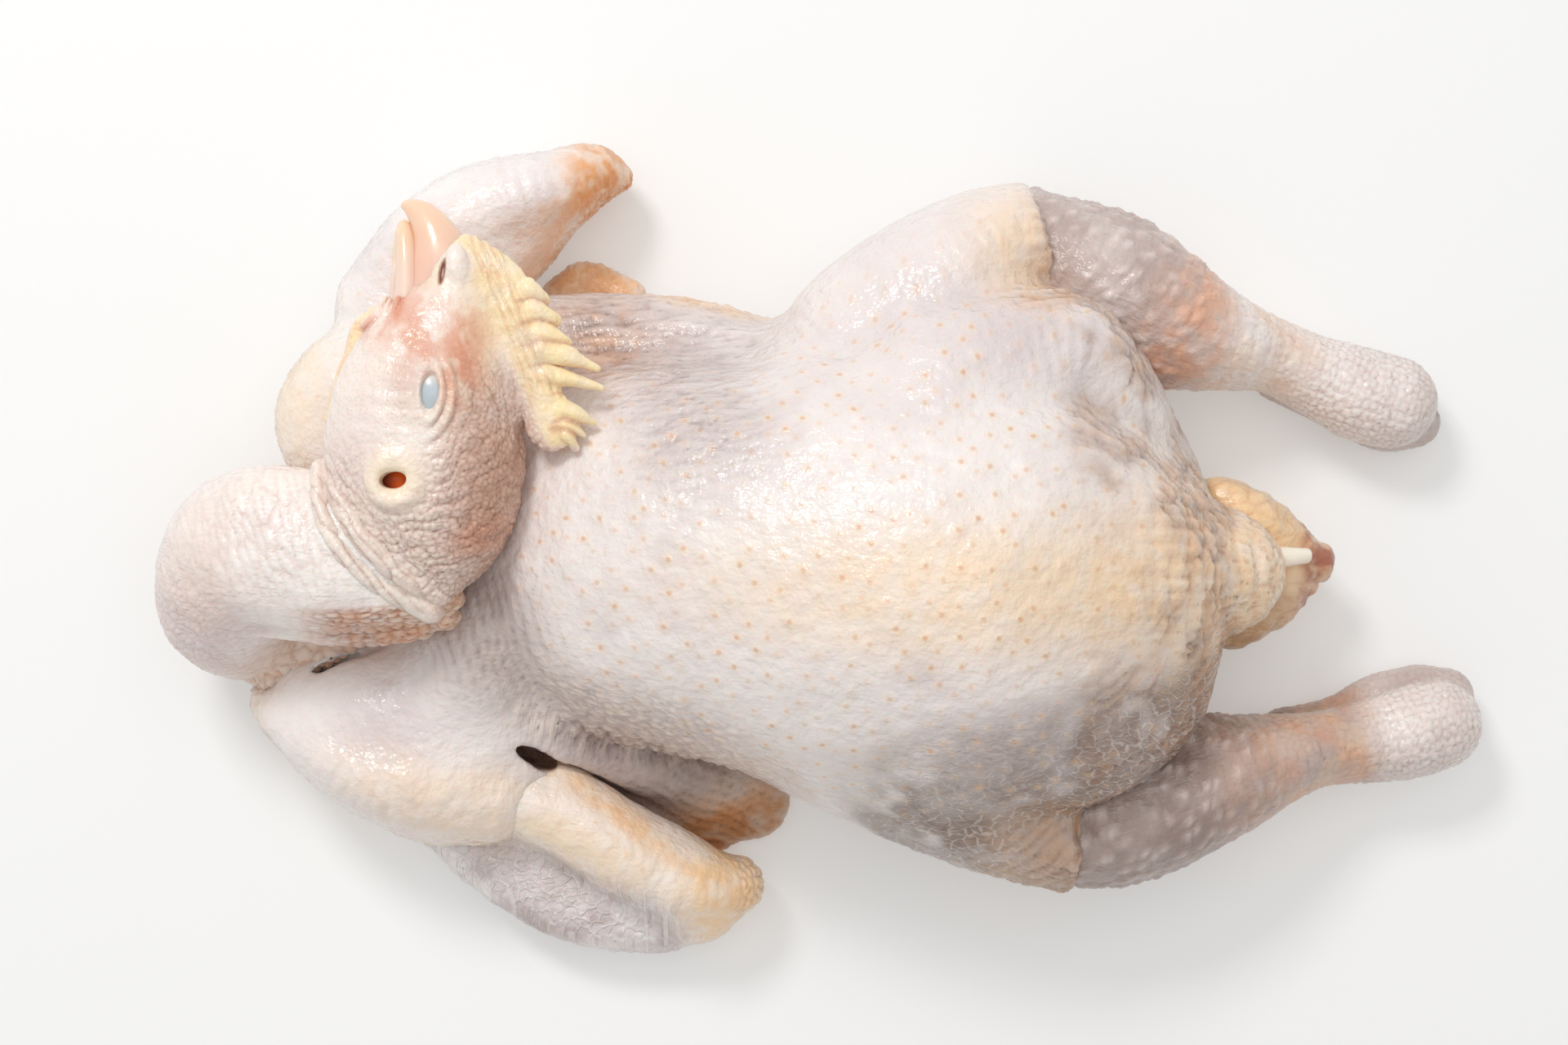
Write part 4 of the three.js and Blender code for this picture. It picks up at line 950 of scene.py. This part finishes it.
def neck_finish(p, out, grain):
    """Fine scaly rows along the loop's lower edge, short wrinkles over its middle, lilac skin with
    long strokes round its bend, and scallops along the lower turn, with painted shade in the
    valleys between them, under the loop's edge and over the lower turn."""
    x, y, z = p.T
    u, v = grain[:, 0], grain[:, 1]
    warp = ripple(p, 9, 73)
    upper = ramp(z, 40, 50)
    edge = upper * ramp(-v, 5, 9) * ramp(x, -132, -112)
    rows = pebbles(u / 3.2 + 0.3 * warp, v / 1.6 + 0.35 * warp, 74, 0.8)
    middle = upper * spot(p, (-128, 5, 72), (26, 17, 40)) * (1 - edge)
    short = pebbles((x + 0.35 * y) / 2.3 + 0.4 * warp, (y - 0.35 * x) / 8, 76, 1.0)
    bend = spot(p, (-152, -18, 40), (18, 20, 44)) * (1 - edge)
    strokes = pebbles((0.8 * u + 0.6 * v) / 6.5, (0.8 * v - 0.6 * u) / 1.7 + 0.5 * warp, 78)
    low = (1 - upper) * (1 - bend)
    frill = 1 - ramp(limb(p, NECK_FLAP), 0.3, 2.0)
    scallops = pebbles(u / 3.4 + 0.4 * warp, v / 6, 77)
    far_side = np.clip(ramp(y, 8, 16) + 0.7 * (1 - ramp(x, -164, -156)), 0, 1)
    rough_top = 0.6 * upper * far_side * (1 - 0.6 * bend)
    crinkle = pebbles(u / 2.6 + 0.3 * warp, v / 2.8, 79, 1.0)
    relief = 0.6 * ripple(p, 12, 71) + 0.3 * ripple(p, 5, 72)
    for where, folded in ((0.9 * edge, rows), (0.5 * middle, short), (0.4 * bend, strokes),
                          (0.6 * low + 0.45 * frill, scallops), (0.3 * rough_top, crinkle)):
        relief += where * (folded - 0.5)
    # Marks: the dusky edge and lower turn are partly brownish skin, partly painted shade under the
    # loop; the valleys are painted shade.
    return relief, {
        "fleshy": 0.85 * bend, "creased": 0.35,
        "flushed": (0.5 + 0.5 * (1 - rows)) * edge * ramp(x, -136, -122) + 0.25 * low
        + 0.4 * frill * (1 - scallops),
        "dusky": 0.45 * edge * ramp(x, -136, -120) + 0.12 * bend + 0.25 * low,
        "fatty": 0.2 * ramp(ripple(p, 18, 75), 0, 0.7) + 0.45 * low
        + 0.6 * spot(p, (-94, -14, 58), (8, 7, 10)),
        "deep": 0.75 * edge * (1 - rows) ** 1.5 + 0.3 * middle * (1 - short) ** 2
        + 0.25 * bend * (1 - strokes) ** 2 + 0.45 * low * (1 - scallops) ** 2
        + 0.12 * rough_top * (1 - crinkle) ** 2}


# Its dusk colour serves brownish skin and painted shade; its last colour is painted shade in the
# valleys.
neck_skin = skin_material("neck_skin", rgb(251, 241, 235), rgb(230, 212, 212), rgb(251, 223, 192),
                          flush=rgb(228, 168, 130), dusk_and_shade=rgb(186, 150, 130), painted_shade_colour=rgb(166, 104, 70))
skin_piece("neck", neck_flesh, (-172, -44, -2), (-68, 28, 84), 0.62,
           neck_grain, neck_finish, neck_skin)

# Head, lying on its right cheek: wrinkled skin over the skull, the ear in its soft ring, the lids,
# the lid over the nostril, and the comb with its folds and eight teeth, which hangs to one side.
HEAD = [(-97, -1, 60, 11, 12), (-95, 8, 62, 18, 16), (-96, 20, 65, 23.5, 18),
        (-96, 33, 66, 22.5, 18), (-93.5, 48, 66, 16, 15), (-89.5, 57, 66, 11.5, 12),
        (-87.7, 64, 66, 8.8, 9), (-87.6, 69, 66, 6.2, 6.8)]
CROWN = [(-84.5, 70.5, 67, 4.5, 5), (-81, 60, 67, 7, 6), (-77.5, 48, 67, 8, 6.5),
         (-75, 37, 66, 6, 6)]
JAW = [(-108, 40, 64, 5.0, 9), (-106.6, 48, 66, 4.0, 8)]
MOUTH_FOLDS = [[(-106.6, 49.0, 73, 0.9, 3), (-103.0, 54.6, 73.5, 1.3, 2.6),
                (-101.6, 60.2, 73.0, 0.7, 2)],
               [(-108.8, 50.6, 71, 0.8, 3), (-105.6, 54.8, 72, 1.2, 2.6),
                (-103.6, 59.8, 71.6, 0.7, 2)],
               [(-110.4, 53.8, 68, 0.9, 3), (-107.4, 56.4, 69, 1.3, 2.6),
                (-105.0, 60.6, 69.0, 0.7, 2)]]
WATTLE = [(-108.8, 57.6, 62, 1.5, 2.2), (-111.0, 54.0, 62.5, 2.7, 2.6),
          (-113.6, 46.5, 62, 2.8, 2.8), (-117.0, 39.5, 61, 2.3, 2.6), (-120.0, 32, 59.5, 1.3, 2.0)]
THROAT_FOLDS = [[(-121.5, 20, 65, 2.0, 6), (-120, 9, 69, 2.6, 6), (-113, -2.4, 70.5, 3.0, 6),
                 (-103.7, -9.6, 66.5, 3.2, 6), (-95, -14, 62, 3.2, 6)],
                [(-116.5, 14.5, 69, 2.4, 7), (-111, 4.7, 71.5, 2.8, 7), (-100.5, -6, 67.5, 3.0, 7),
                 (-92.7, -10, 63, 3.0, 6)]]
EYE = ((-92, 38, 79), (8, 10, 6), 10)
EYE_SLIT = ((-92.9, 37.6, 85.3), (2.1, 5.4, 3.2), -6)
EAR = (-101.6, 17.0, 82.0)
EAR_HOLE = ((-101.6, 17.0, 81.0), (3.3, 2.1, 7.0), 8)
NOSTRIL_SKIN = ((-88.3, 65.8, 69.2), (5.9, 7.8, 6.4), 0)
NOSTRIL_LID = ((-87.5, 67.4, 74.2), (2.9, 5.7, 2.9), 4)
NOSTRIL_SLIT = ((-90.9, 66.6, 76.0), (0.75, 3.3, 2.8), -8)
COMB_BAND = [(-82.4, 72.0, 69.0, 2.2, 2.6), (-78.0, 66.0, 69.5, 5.0, 3.2),
             (-75.3, 60.0, 69.8, 5.9, 3.6), (-73.4, 55.0, 70.0, 5.7, 3.6),
             (-72.0, 49.5, 70.0, 4.8, 3.4), (-69.6, 43.0, 70.0, 4.9, 3.2),
             (-67.5, 37.0, 70.0, 4.9, 3.0), (-65.4, 31.0, 70.0, 5.0, 2.8),
             (-65.6, 28.5, 70.0, 4.4, 2.6)]
COMB_BLADE = ((-65, 31, 70), (6.6, 6.6, 2.8))
# Teeth of the comb: root, tip, half widths at the root and the tip.
COMB_TEETH = [((-70.8, 62.4), (-67.4, 60.0), 2.8, 1.7), ((-69.8, 57.4), (-64.8, 55.2), 3.3, 1.8),
              ((-68.6, 52.0), (-62.0, 49.8), 3.7, 1.6), ((-67.6, 48.2), (-54.5, 43.7), 3.6, 0.7),
              ((-66.6, 42.0), (-53.5, 39.0), 2.9, 0.7), ((-62.5, 33.6), (-55.2, 30.7), 3.0, 0.9),
              ((-62.0, 30.0), (-57.6, 27.7), 2.0, 0.8), ((-62.0, 28.0), (-59.8, 24.9), 2.2, 1.2)]


def ring(p, centre, radius, thick):
    """Distance to a level ring of round section."""
    q = p - np.asarray(centre, np.float32)
    return np.hypot(np.hypot(q[:, 0], q[:, 1]) - radius, q[:, 2]) - thick


def comb_teeth(p):
    """Distances to the nearest and the second nearest tooth."""
    first, second = np.full(len(p), FAR, float), np.full(len(p), FAR, float)
    for (rx, ry), (tx, ty), wide, fine in COMB_TEETH:
        mx, my = 0.45 * rx + 0.55 * tx, 0.45 * ry + 0.55 * ty + 0.4
        d = limb(p, [(rx, ry, 70.8, wide, 2.8), (mx, my, 70.6, 0.6 * wide, 2.4),
                     (tx, ty, 70.0, fine, 1.0)], 10)
        second = np.minimum(second, np.maximum(first, d))
        first = np.minimum(first, d)
    return first, second


def head_flesh(p):
    """Distance to the head: skull, jaw, folds, wattle, ear, eye, nostril and comb."""
    d = melt(limb(p, HEAD), lobe(p, *EYE), 4)
    d = melt_limbs(d, p, (CROWN, 4), (JAW, 2.5))
    folded = melt(limb(p, THROAT_FOLDS[0]), limb(p, THROAT_FOLDS[1]), 1.2)
    d = melt(melt(d, folded, 2.5), limb(p, WATTLE), 0.8)
    for fold in MOUTH_FOLDS:
        d = melt(d, limb(p, fold, 10), 0.6)
    d = cut(melt(d, ring(p, EAR, 4.9, 1.7), 3.0), -lobe(p, *EAR_HOLE), 1.0)
    d = cut(d, -lobe(p, *EYE_SLIT), 0.8)
    d = melt(melt(d, lobe(p, *NOSTRIL_SKIN), 2), lobe(p, *NOSTRIL_LID), 0.5)
    comb = melt(melt(limb(p, COMB_BAND, 30), lobe(p, *COMB_BLADE), 1), comb_teeth(p)[0], 0.5)
    return melt(cut(d, -lobe(p, *NOSTRIL_SLIT), 0.4), comb, 1.6)


def past_comb_line(x, y):
    """How far a point is towards the comb, whose root lies along the line where this is -79."""
    return x + 0.42 * (y - 50)


def head_grain(p):
    """Lengths along and across the comb on it and at its base, and along X and Y elsewhere."""
    x, y = p[:, 0], p[:, 1]
    turned = np.stack([0.92 * y - 0.39 * x, 0.92 * x + 0.39 * y, 0 * x], 1)
    return np.where((past_comb_line(x, y) > -79)[:, None], turned, flat_grain(p))


def head_finish(p, out, grain):
    """Rows of beads over the back of the head, long folds down the throat, rings round the eye,
    stippling on the face, long folds at the comb's base; painted shade in their valleys, between
    the comb's teeth, in the nostril's slit and the eye's socket, and over the back of the head,
    which is turned from the lamps."""
    x, y, z = p.T
    warp = ripple(p, 6, 83)
    comb_side = past_comb_line(x, y)
    comb = ramp(comb_side, -78.5, -74.5) * ramp(y, 24, 26) * ramp(z, 64, 66)
    comb = np.where(y > 66, ramp(x + 1.1 * (y - 66), -80, -77) * ramp(z, 64, 66), comb)

    # Beads and rolls over the back of the head, and drapes down the throat.
    ear_zone = spot(p, (EAR[0], EAR[1], 80), (9, 9, 20))
    back = np.clip((1 - ramp(y, 14, 30)) + spot(p, (-79, 24, 70), (12, 22, 40)), 0, 1)
    back *= (1 - ear_zone) * (1 - comb) * (1 - 0.8 * ramp(-0.8 * x - 0.6 * y, 76, 88))
    across = x + (z - 66) * np.sign(out[:, 0]) * -0.8 - 0.3 * y
    beads = pebbles(across / 2.0 + 0.6 * warp, (y + 0.35 * x) / 1.5 + 0.6 * warp, 84, 1.0)
    rolls = folds(np.hypot(x + 96, y - 34) / 3.4 + 0.8 * warp + 0.25 * ripple(p, 3, 86))
    relief = 0.2 * ripple(p, 9, 81) + 0.1 * ripple(p, 3, 82)
    relief += 0.42 * back * (beads - 0.5) + 0.6 * back * (rolls - 0.6)
    throat = spot(p, (-110, 2, 66), (11, 22, 30), 30) * (1 - ear_zone)
    drapes = folds((0.8 * x + 0.6 * y) / 2.6 + 0.5 * warp)
    relief += 0.9 * throat * (drapes - 0.5)

    # Eye: a rim, two lids behind it as ridges with grooves, a third in its corner, and its socket.
    dx, dy = x - EYE_SLIT[0][0], y - EYE_SLIT[0][1]
    on_top = ramp(z, 74, 80)
    rim = np.sqrt((dx / 2.1) ** 2 + (dy / 5.4) ** 2)
    soft = 0.018 * ripple(p, 5, 88)
    upper_lid = np.sqrt(((dx + 4.5) / 8.4) ** 2 + ((dy - 0.6) / 10.5) ** 2) + soft
    outer_lid = np.sqrt(((dx + 4.5) / 10.4) ** 2 + ((dy - 0.2) / 12.5) ** 2) + soft
    right_lid = ramp(dx - 0.1 * dy, -0.5, 2.5) * (1 - ramp(dy, 5, 10))

    def line(value, at, width):
        return np.exp(-(((value - at) / width) ** 2))

    lids = right_lid * (line(upper_lid, 0.91, 0.07) + line(outer_lid, 0.97, 0.06))
    grooves = right_lid * (line(upper_lid, 1.03, 0.035) + 0.8 * line(outer_lid, 1.09, 0.05))
    corner = on_top * spot(p, (-93.6, 45, 80), (2.2, 4, 9), -8)
    third_lid = corner * folds((dx + 0.15 * dy) / 0.9)
    socket = on_top * spot(p, (-98.5, 38, 80), (4, 8, 10)) * (1 - np.exp(-((rim / 1.2) ** 4)))
    relief += on_top * (0.55 * lids - 0.5 * grooves + 0.3 * line(rim, 1.25, 0.2))
    relief += 0.35 * third_lid - 0.3 * socket

    # Comb: gaps between its teeth and long folds at its base, with the crown beside it.
    first, second = comb_teeth(p)
    # Between the teeth the comb is painted redder and darker: painted shade in the gaps.
    between_teeth = comb * line(second - first, 0, 0.8) * (1 - ramp(second, 1.2, 3.0))
    crown = spot(p, (-80, 56, 70), (7, 22, 30), -20) * (1 - comb)
    comb_base = between(comb_side, -77, -74, -70, -67.5) * ramp(y, 34, 42) * ramp(z, 64, 66)
    long_folds = 0.5 + 0.5 * np.sin(2 * np.pi * ((x + 0.42 * y) / 2.3 + 0.35 * ripple(p, 9, 91)))
    relief += 0.3 * comb_base * (long_folds - 0.5) + 0.25 * comb * ripple(p, 3.5, 92)

    face_pink = spot(p, (-97, 52, 76), (7, 12, 20)) + spot(p, (-86, 44, 76), (5, 14, 20))
    wattle = 1 - ramp(limb(p, WATTLE), 0.2, 1.8)
    mouth = line(np.minimum.reduce([limb(p, fold, 10) for fold in MOUTH_FOLDS]), 0, 1.6)
    slit = 1 - ramp(lobe(p, *NOSTRIL_SLIT), -0.1, 0.5)
    nostril_lid = 1 - ramp(lobe(p, *NOSTRIL_LID), 0.2, 1.2)
    # Marks: the dusky back of the head and its socket are painted shade; the crease mark puts
    # painted shade in the valleys, grooves, slit and between the teeth.
    return relief, {
        "fleshy": 0.5 * spot(p, (-112, 30, 76), (10, 22, 30))
        + 0.2 * ramp(ripple(p, 12, 85), -0.2, 0.6) * (1 - comb),
        "flushed": 0.15 * back + 0.8 * face_pink + 0.5 * spot(p, (-82, 4, 70), (8, 4, 30), 30)
        + 0.12 * comb_base * (1 - long_folds) + 0.25 * crown + 0.12 * comb_base
        + 0.35 * between_teeth + 0.6 * mouth + 0.25 * corner
        + 0.3 * wattle * ramp(-out[:, 0], 0.3, 0.8),
        "dusky": 0.4 * back * ramp(x, -100, -76) + 0.45 * spot(p, (-78, 12, 66), (11, 26, 30))
        + 0.3 * throat * (1 - drapes) + 0.25 * socket,
        "fatty": 0.75 * crown + comb + 0.5 * ramp(y, 60, 68) * (1 - comb) * (1 - nostril_lid)
        + 0.9 * wattle + 0.45 * spot(p, (EAR[0], EAR[1], 84), (7, 7, 8)),
        "deep": 0.65 * back * (1 - beads) ** 1.5 + 0.45 * back * (1 - rolls) ** 2
        + 0.45 * throat * (1 - drapes) ** 2 + 0.3 * on_top * grooves
        + 0.1 * comb_base * (1 - long_folds) + 0.3 * between_teeth + 0.9 * slit
        + 0.2 * corner * (1 - third_lid),
        "creased": (0.1 + 0.2 * back + 0.7 * comb_base + 0.15 * comb)
        * (1 - line(comb_side, -79, 1.2)),
        "stippled": 0.6 * between(y, 18, 30, 54, 60) * (1 - crown) * (1 - comb)}


# Its dusk colour is painted shade on the back of the head, turned from the lamps; its last colour
# is painted shade in valleys and slits.
head_skin = skin_material("head_skin", rgb(249, 236, 225), rgb(238, 222, 216), rgb(255, 229, 181),
                          flush=rgb(226, 162, 134), dusk_and_shade=rgb(184, 138, 110), painted_shade_colour=rgb(160, 96, 68))
skin_piece("head", head_flesh, (-124, -20, 40), (-50, 82, 92), 0.48, head_grain, head_finish,
           head_skin)

# Beak: two horny halves, pink and half clear, the upper hooked over the lower, and the strip of
# skin along the lower one. Each is an oval carried along its path and closed at either end.
UPPER_BEAK = [(-93.5, 56, 66, 8.5, 8.0), (-92.2, 65.5, 66.3, 7.4, 7.6),
              (-92.4, 72, 66.6, 6.8, 6.8), (-94.6, 77.7, 66.5, 4.8, 5.2),
              (-97.1, 80.9, 66, 3.5, 3.8), (-99.5, 82.6, 65.5, 2.2, 2.6),
              (-101.3, 83.3, 65, 1.0, 1.3), (-102.0, 83.5, 64.7, 0.4, 0.5)]
LOWER_BEAK = [(-101.6, 50, 66, 3.8, 6.6), (-100.6, 56, 66, 3.8, 7.0), (-100.2, 61, 66, 3.6, 7.0),
              (-100.1, 66, 66, 3.4, 6.4), (-100.3, 72, 65.8, 3.0, 5.4),
              (-100.9, 77, 65.4, 2.2, 3.8), (-101.5, 79.8, 65, 1.0, 1.4)]
LOWER_SKIN = [(-104.6, 52, 64, 1.6, 5.0), (-103.4, 60, 65, 1.5, 5.0), (-103.0, 68, 65, 1.3, 4.4),
              (-102.8, 74, 65, 0.9, 3.2), (-102.9, 77.6, 65, 0.4, 1.4)]


def ring_quads(rings, sides):
    """Quads between rings of points, facing outward when the rings climb and run clockwise."""
    i, j = np.meshgrid(np.arange(rings - 1), np.arange(sides), indexing="ij")
    following = (j + 1) % sides
    return np.stack([i * sides + j, (i + 1) * sides + j, (i + 1) * sides + following,
                     i * sides + following], -1).reshape(-1, 4)


def horn(name, stations, rings, sides, material, swell=lambda t, angle: 0):
    """A closed horn: at each place along its path an oval ring, square to the path, of x = half
    width times cos and z = half height times sin, raised by swell(t, angle)."""
    rows = smooth_path(stations, rings)
    t = np.linspace(0, 1, rings)[:, None]
    angle = np.linspace(0, 2 * np.pi, sides, endpoint=False)[None, :]
    way = np.gradient(rows[:, :3], axis=0)
    way /= np.linalg.norm(way, axis=1)[:, None]
    side = np.stack([way[:, 1], -way[:, 0], 0 * way[:, 0]], 1)
    side /= np.linalg.norm(side, axis=1)[:, None]
    up = np.cross(side, way)
    cap = np.sqrt(np.clip(np.minimum(t / 0.03, (1 - t) / 0.03), 0, 1))
    extra = swell(t, angle)
    across = ((rows[:, 3:4] + extra) * cap * np.cos(angle))[..., None] * side[:, None, :]
    rise = ((rows[:, 4:5] + extra) * cap * np.sin(angle))[..., None] * up[:, None, :]
    points = (rows[:, None, :3] + across + rise).reshape(-1, 3)
    on_bird(laid(name, points * 0.001, ring_quads(rings, sides), material))


def horn_material(name, base, tip, start, end, axis=1, clear=0.35, streaks=0.22, wet=0.4):
    """Smooth horn or gristle, faintly streaked, with a colour that changes from base to tip."""
    material, node = new_material(name)
    place = node("TexCoord", out=3)
    along = node("SeparateXYZ", {"Vector": place}, axis)
    t = node("MapRange", {"Value": along, "From Min": start, "From Max": end},
             interpolation_type="SMOOTHSTEP")
    drawn_out = node("Mapping", {"Vector": place, "Scale": (900, 160, 900)})
    streak = node("TexNoise", {"Vector": drawn_out, "Scale": 1.0, "Detail": 2.0})
    tone = node("Mix", {0: t, 6: base, 7: tip}, 2, data_type="RGBA")
    faint = node("Math", {0: streak, 1: streaks}, operation="MULTIPLY")
    colour = node("Mix", {0: faint, 6: tone, 7: rgb(250, 225, 205)}, 2, data_type="RGBA")
    bump = node("Bump", {"Height": streak, "Distance": 0.0002, "Strength": 0.6})
    node("OutputMaterial", {"Surface": node("BsdfPrincipled", {
        "Base Color": colour, "Roughness": 0.3, "Normal": bump, "Subsurface Weight": clear,
        "Subsurface Radius": (1.0, 0.5, 0.35), "Subsurface Scale": 0.004, "Coat Weight": wet,
        "Coat Roughness": 0.12, "Specular IOR Level": 1.25 * wet})})
    return material


upper_horn = horn_material("upper_horn", rgb(246, 198, 180), rgb(248, 208, 178), 0.062, 0.084)
lower_horn = horn_material("lower_horn", rgb(248, 216, 200), rgb(246, 212, 176), 0.062, 0.081)
horn("upper_beak", UPPER_BEAK, 60, 40, upper_horn)
horn("lower_beak", LOWER_BEAK, 50, 32, lower_horn)
horn("lower_beak_skin", LOWER_SKIN, 50, 24, lower_horn, lambda t, a: 0.12 * np.sin(2 * a + 20 * t))

# Gristle: the white end of cartilage that stands out over the tail.
STUB = [(103, -2.6, 37.0, 4.4, 3.4), (110, -2.4, 35.8, 3.6, 3.0), (114, -1.8, 34.8, 2.7, 2.5),
        (118, -1.4, 33.8, 2.2, 2.2), (122, -1.2, 32.6, 1.9, 1.9)]
gristle = horn_material("gristle", rgb(252, 234, 205), rgb(252, 243, 228), 0.108, 0.116, 0)
horn("gristle_end", STUB, 40, 24, gristle, lambda t, a: 0.1 * np.sin(3 * a + 9 * t))


# Eye and ear canal: a clouded blue-grey ball behind half-closed lids, and the floor of the ear's
# hole, rust-brown at its right end and near black at its left, the near black being painted shade
# inside the hole. Both are plain egg-shaped balls let into the head.
def ball(name, centre, radii, material):
    """An egg-shaped ball from its two angles, drawn to a point at either pole."""
    rings, sides = 32, 48
    rise = np.linspace(-np.pi / 2 + 1e-3, np.pi / 2 - 1e-3, rings)[:, None]
    turn = np.linspace(0, 2 * np.pi, sides, endpoint=False)[None, :]
    points = np.stack([np.cos(rise) * np.cos(turn), np.cos(rise) * np.sin(turn),
                       np.sin(rise) + 0 * turn], -1).reshape(-1, 3) * radii + centre
    on_bird(laid(name, points * 0.001, ring_quads(rings, sides)[:, ::-1], material))


eye_clear = horn_material("eye_clear", rgb(180, 198, 208), rgb(240, 226, 216), 0.0385, 0.0425)
ball("eye", (-92.6, 37.5, 77.6), (6.0, 7.5, 6.6), eye_clear)
canal = horn_material("ear_canal_skin_and_shade", rgb(96, 26, 2), rgb(206, 88, 12), -0.1045, -0.0995, 0,
                      clear=0.1, streaks=0.02, wet=0.1)
ball("ear_canal", (-101.6, 17.0, 77.0), (4.4, 3.4, 2.4), canal)
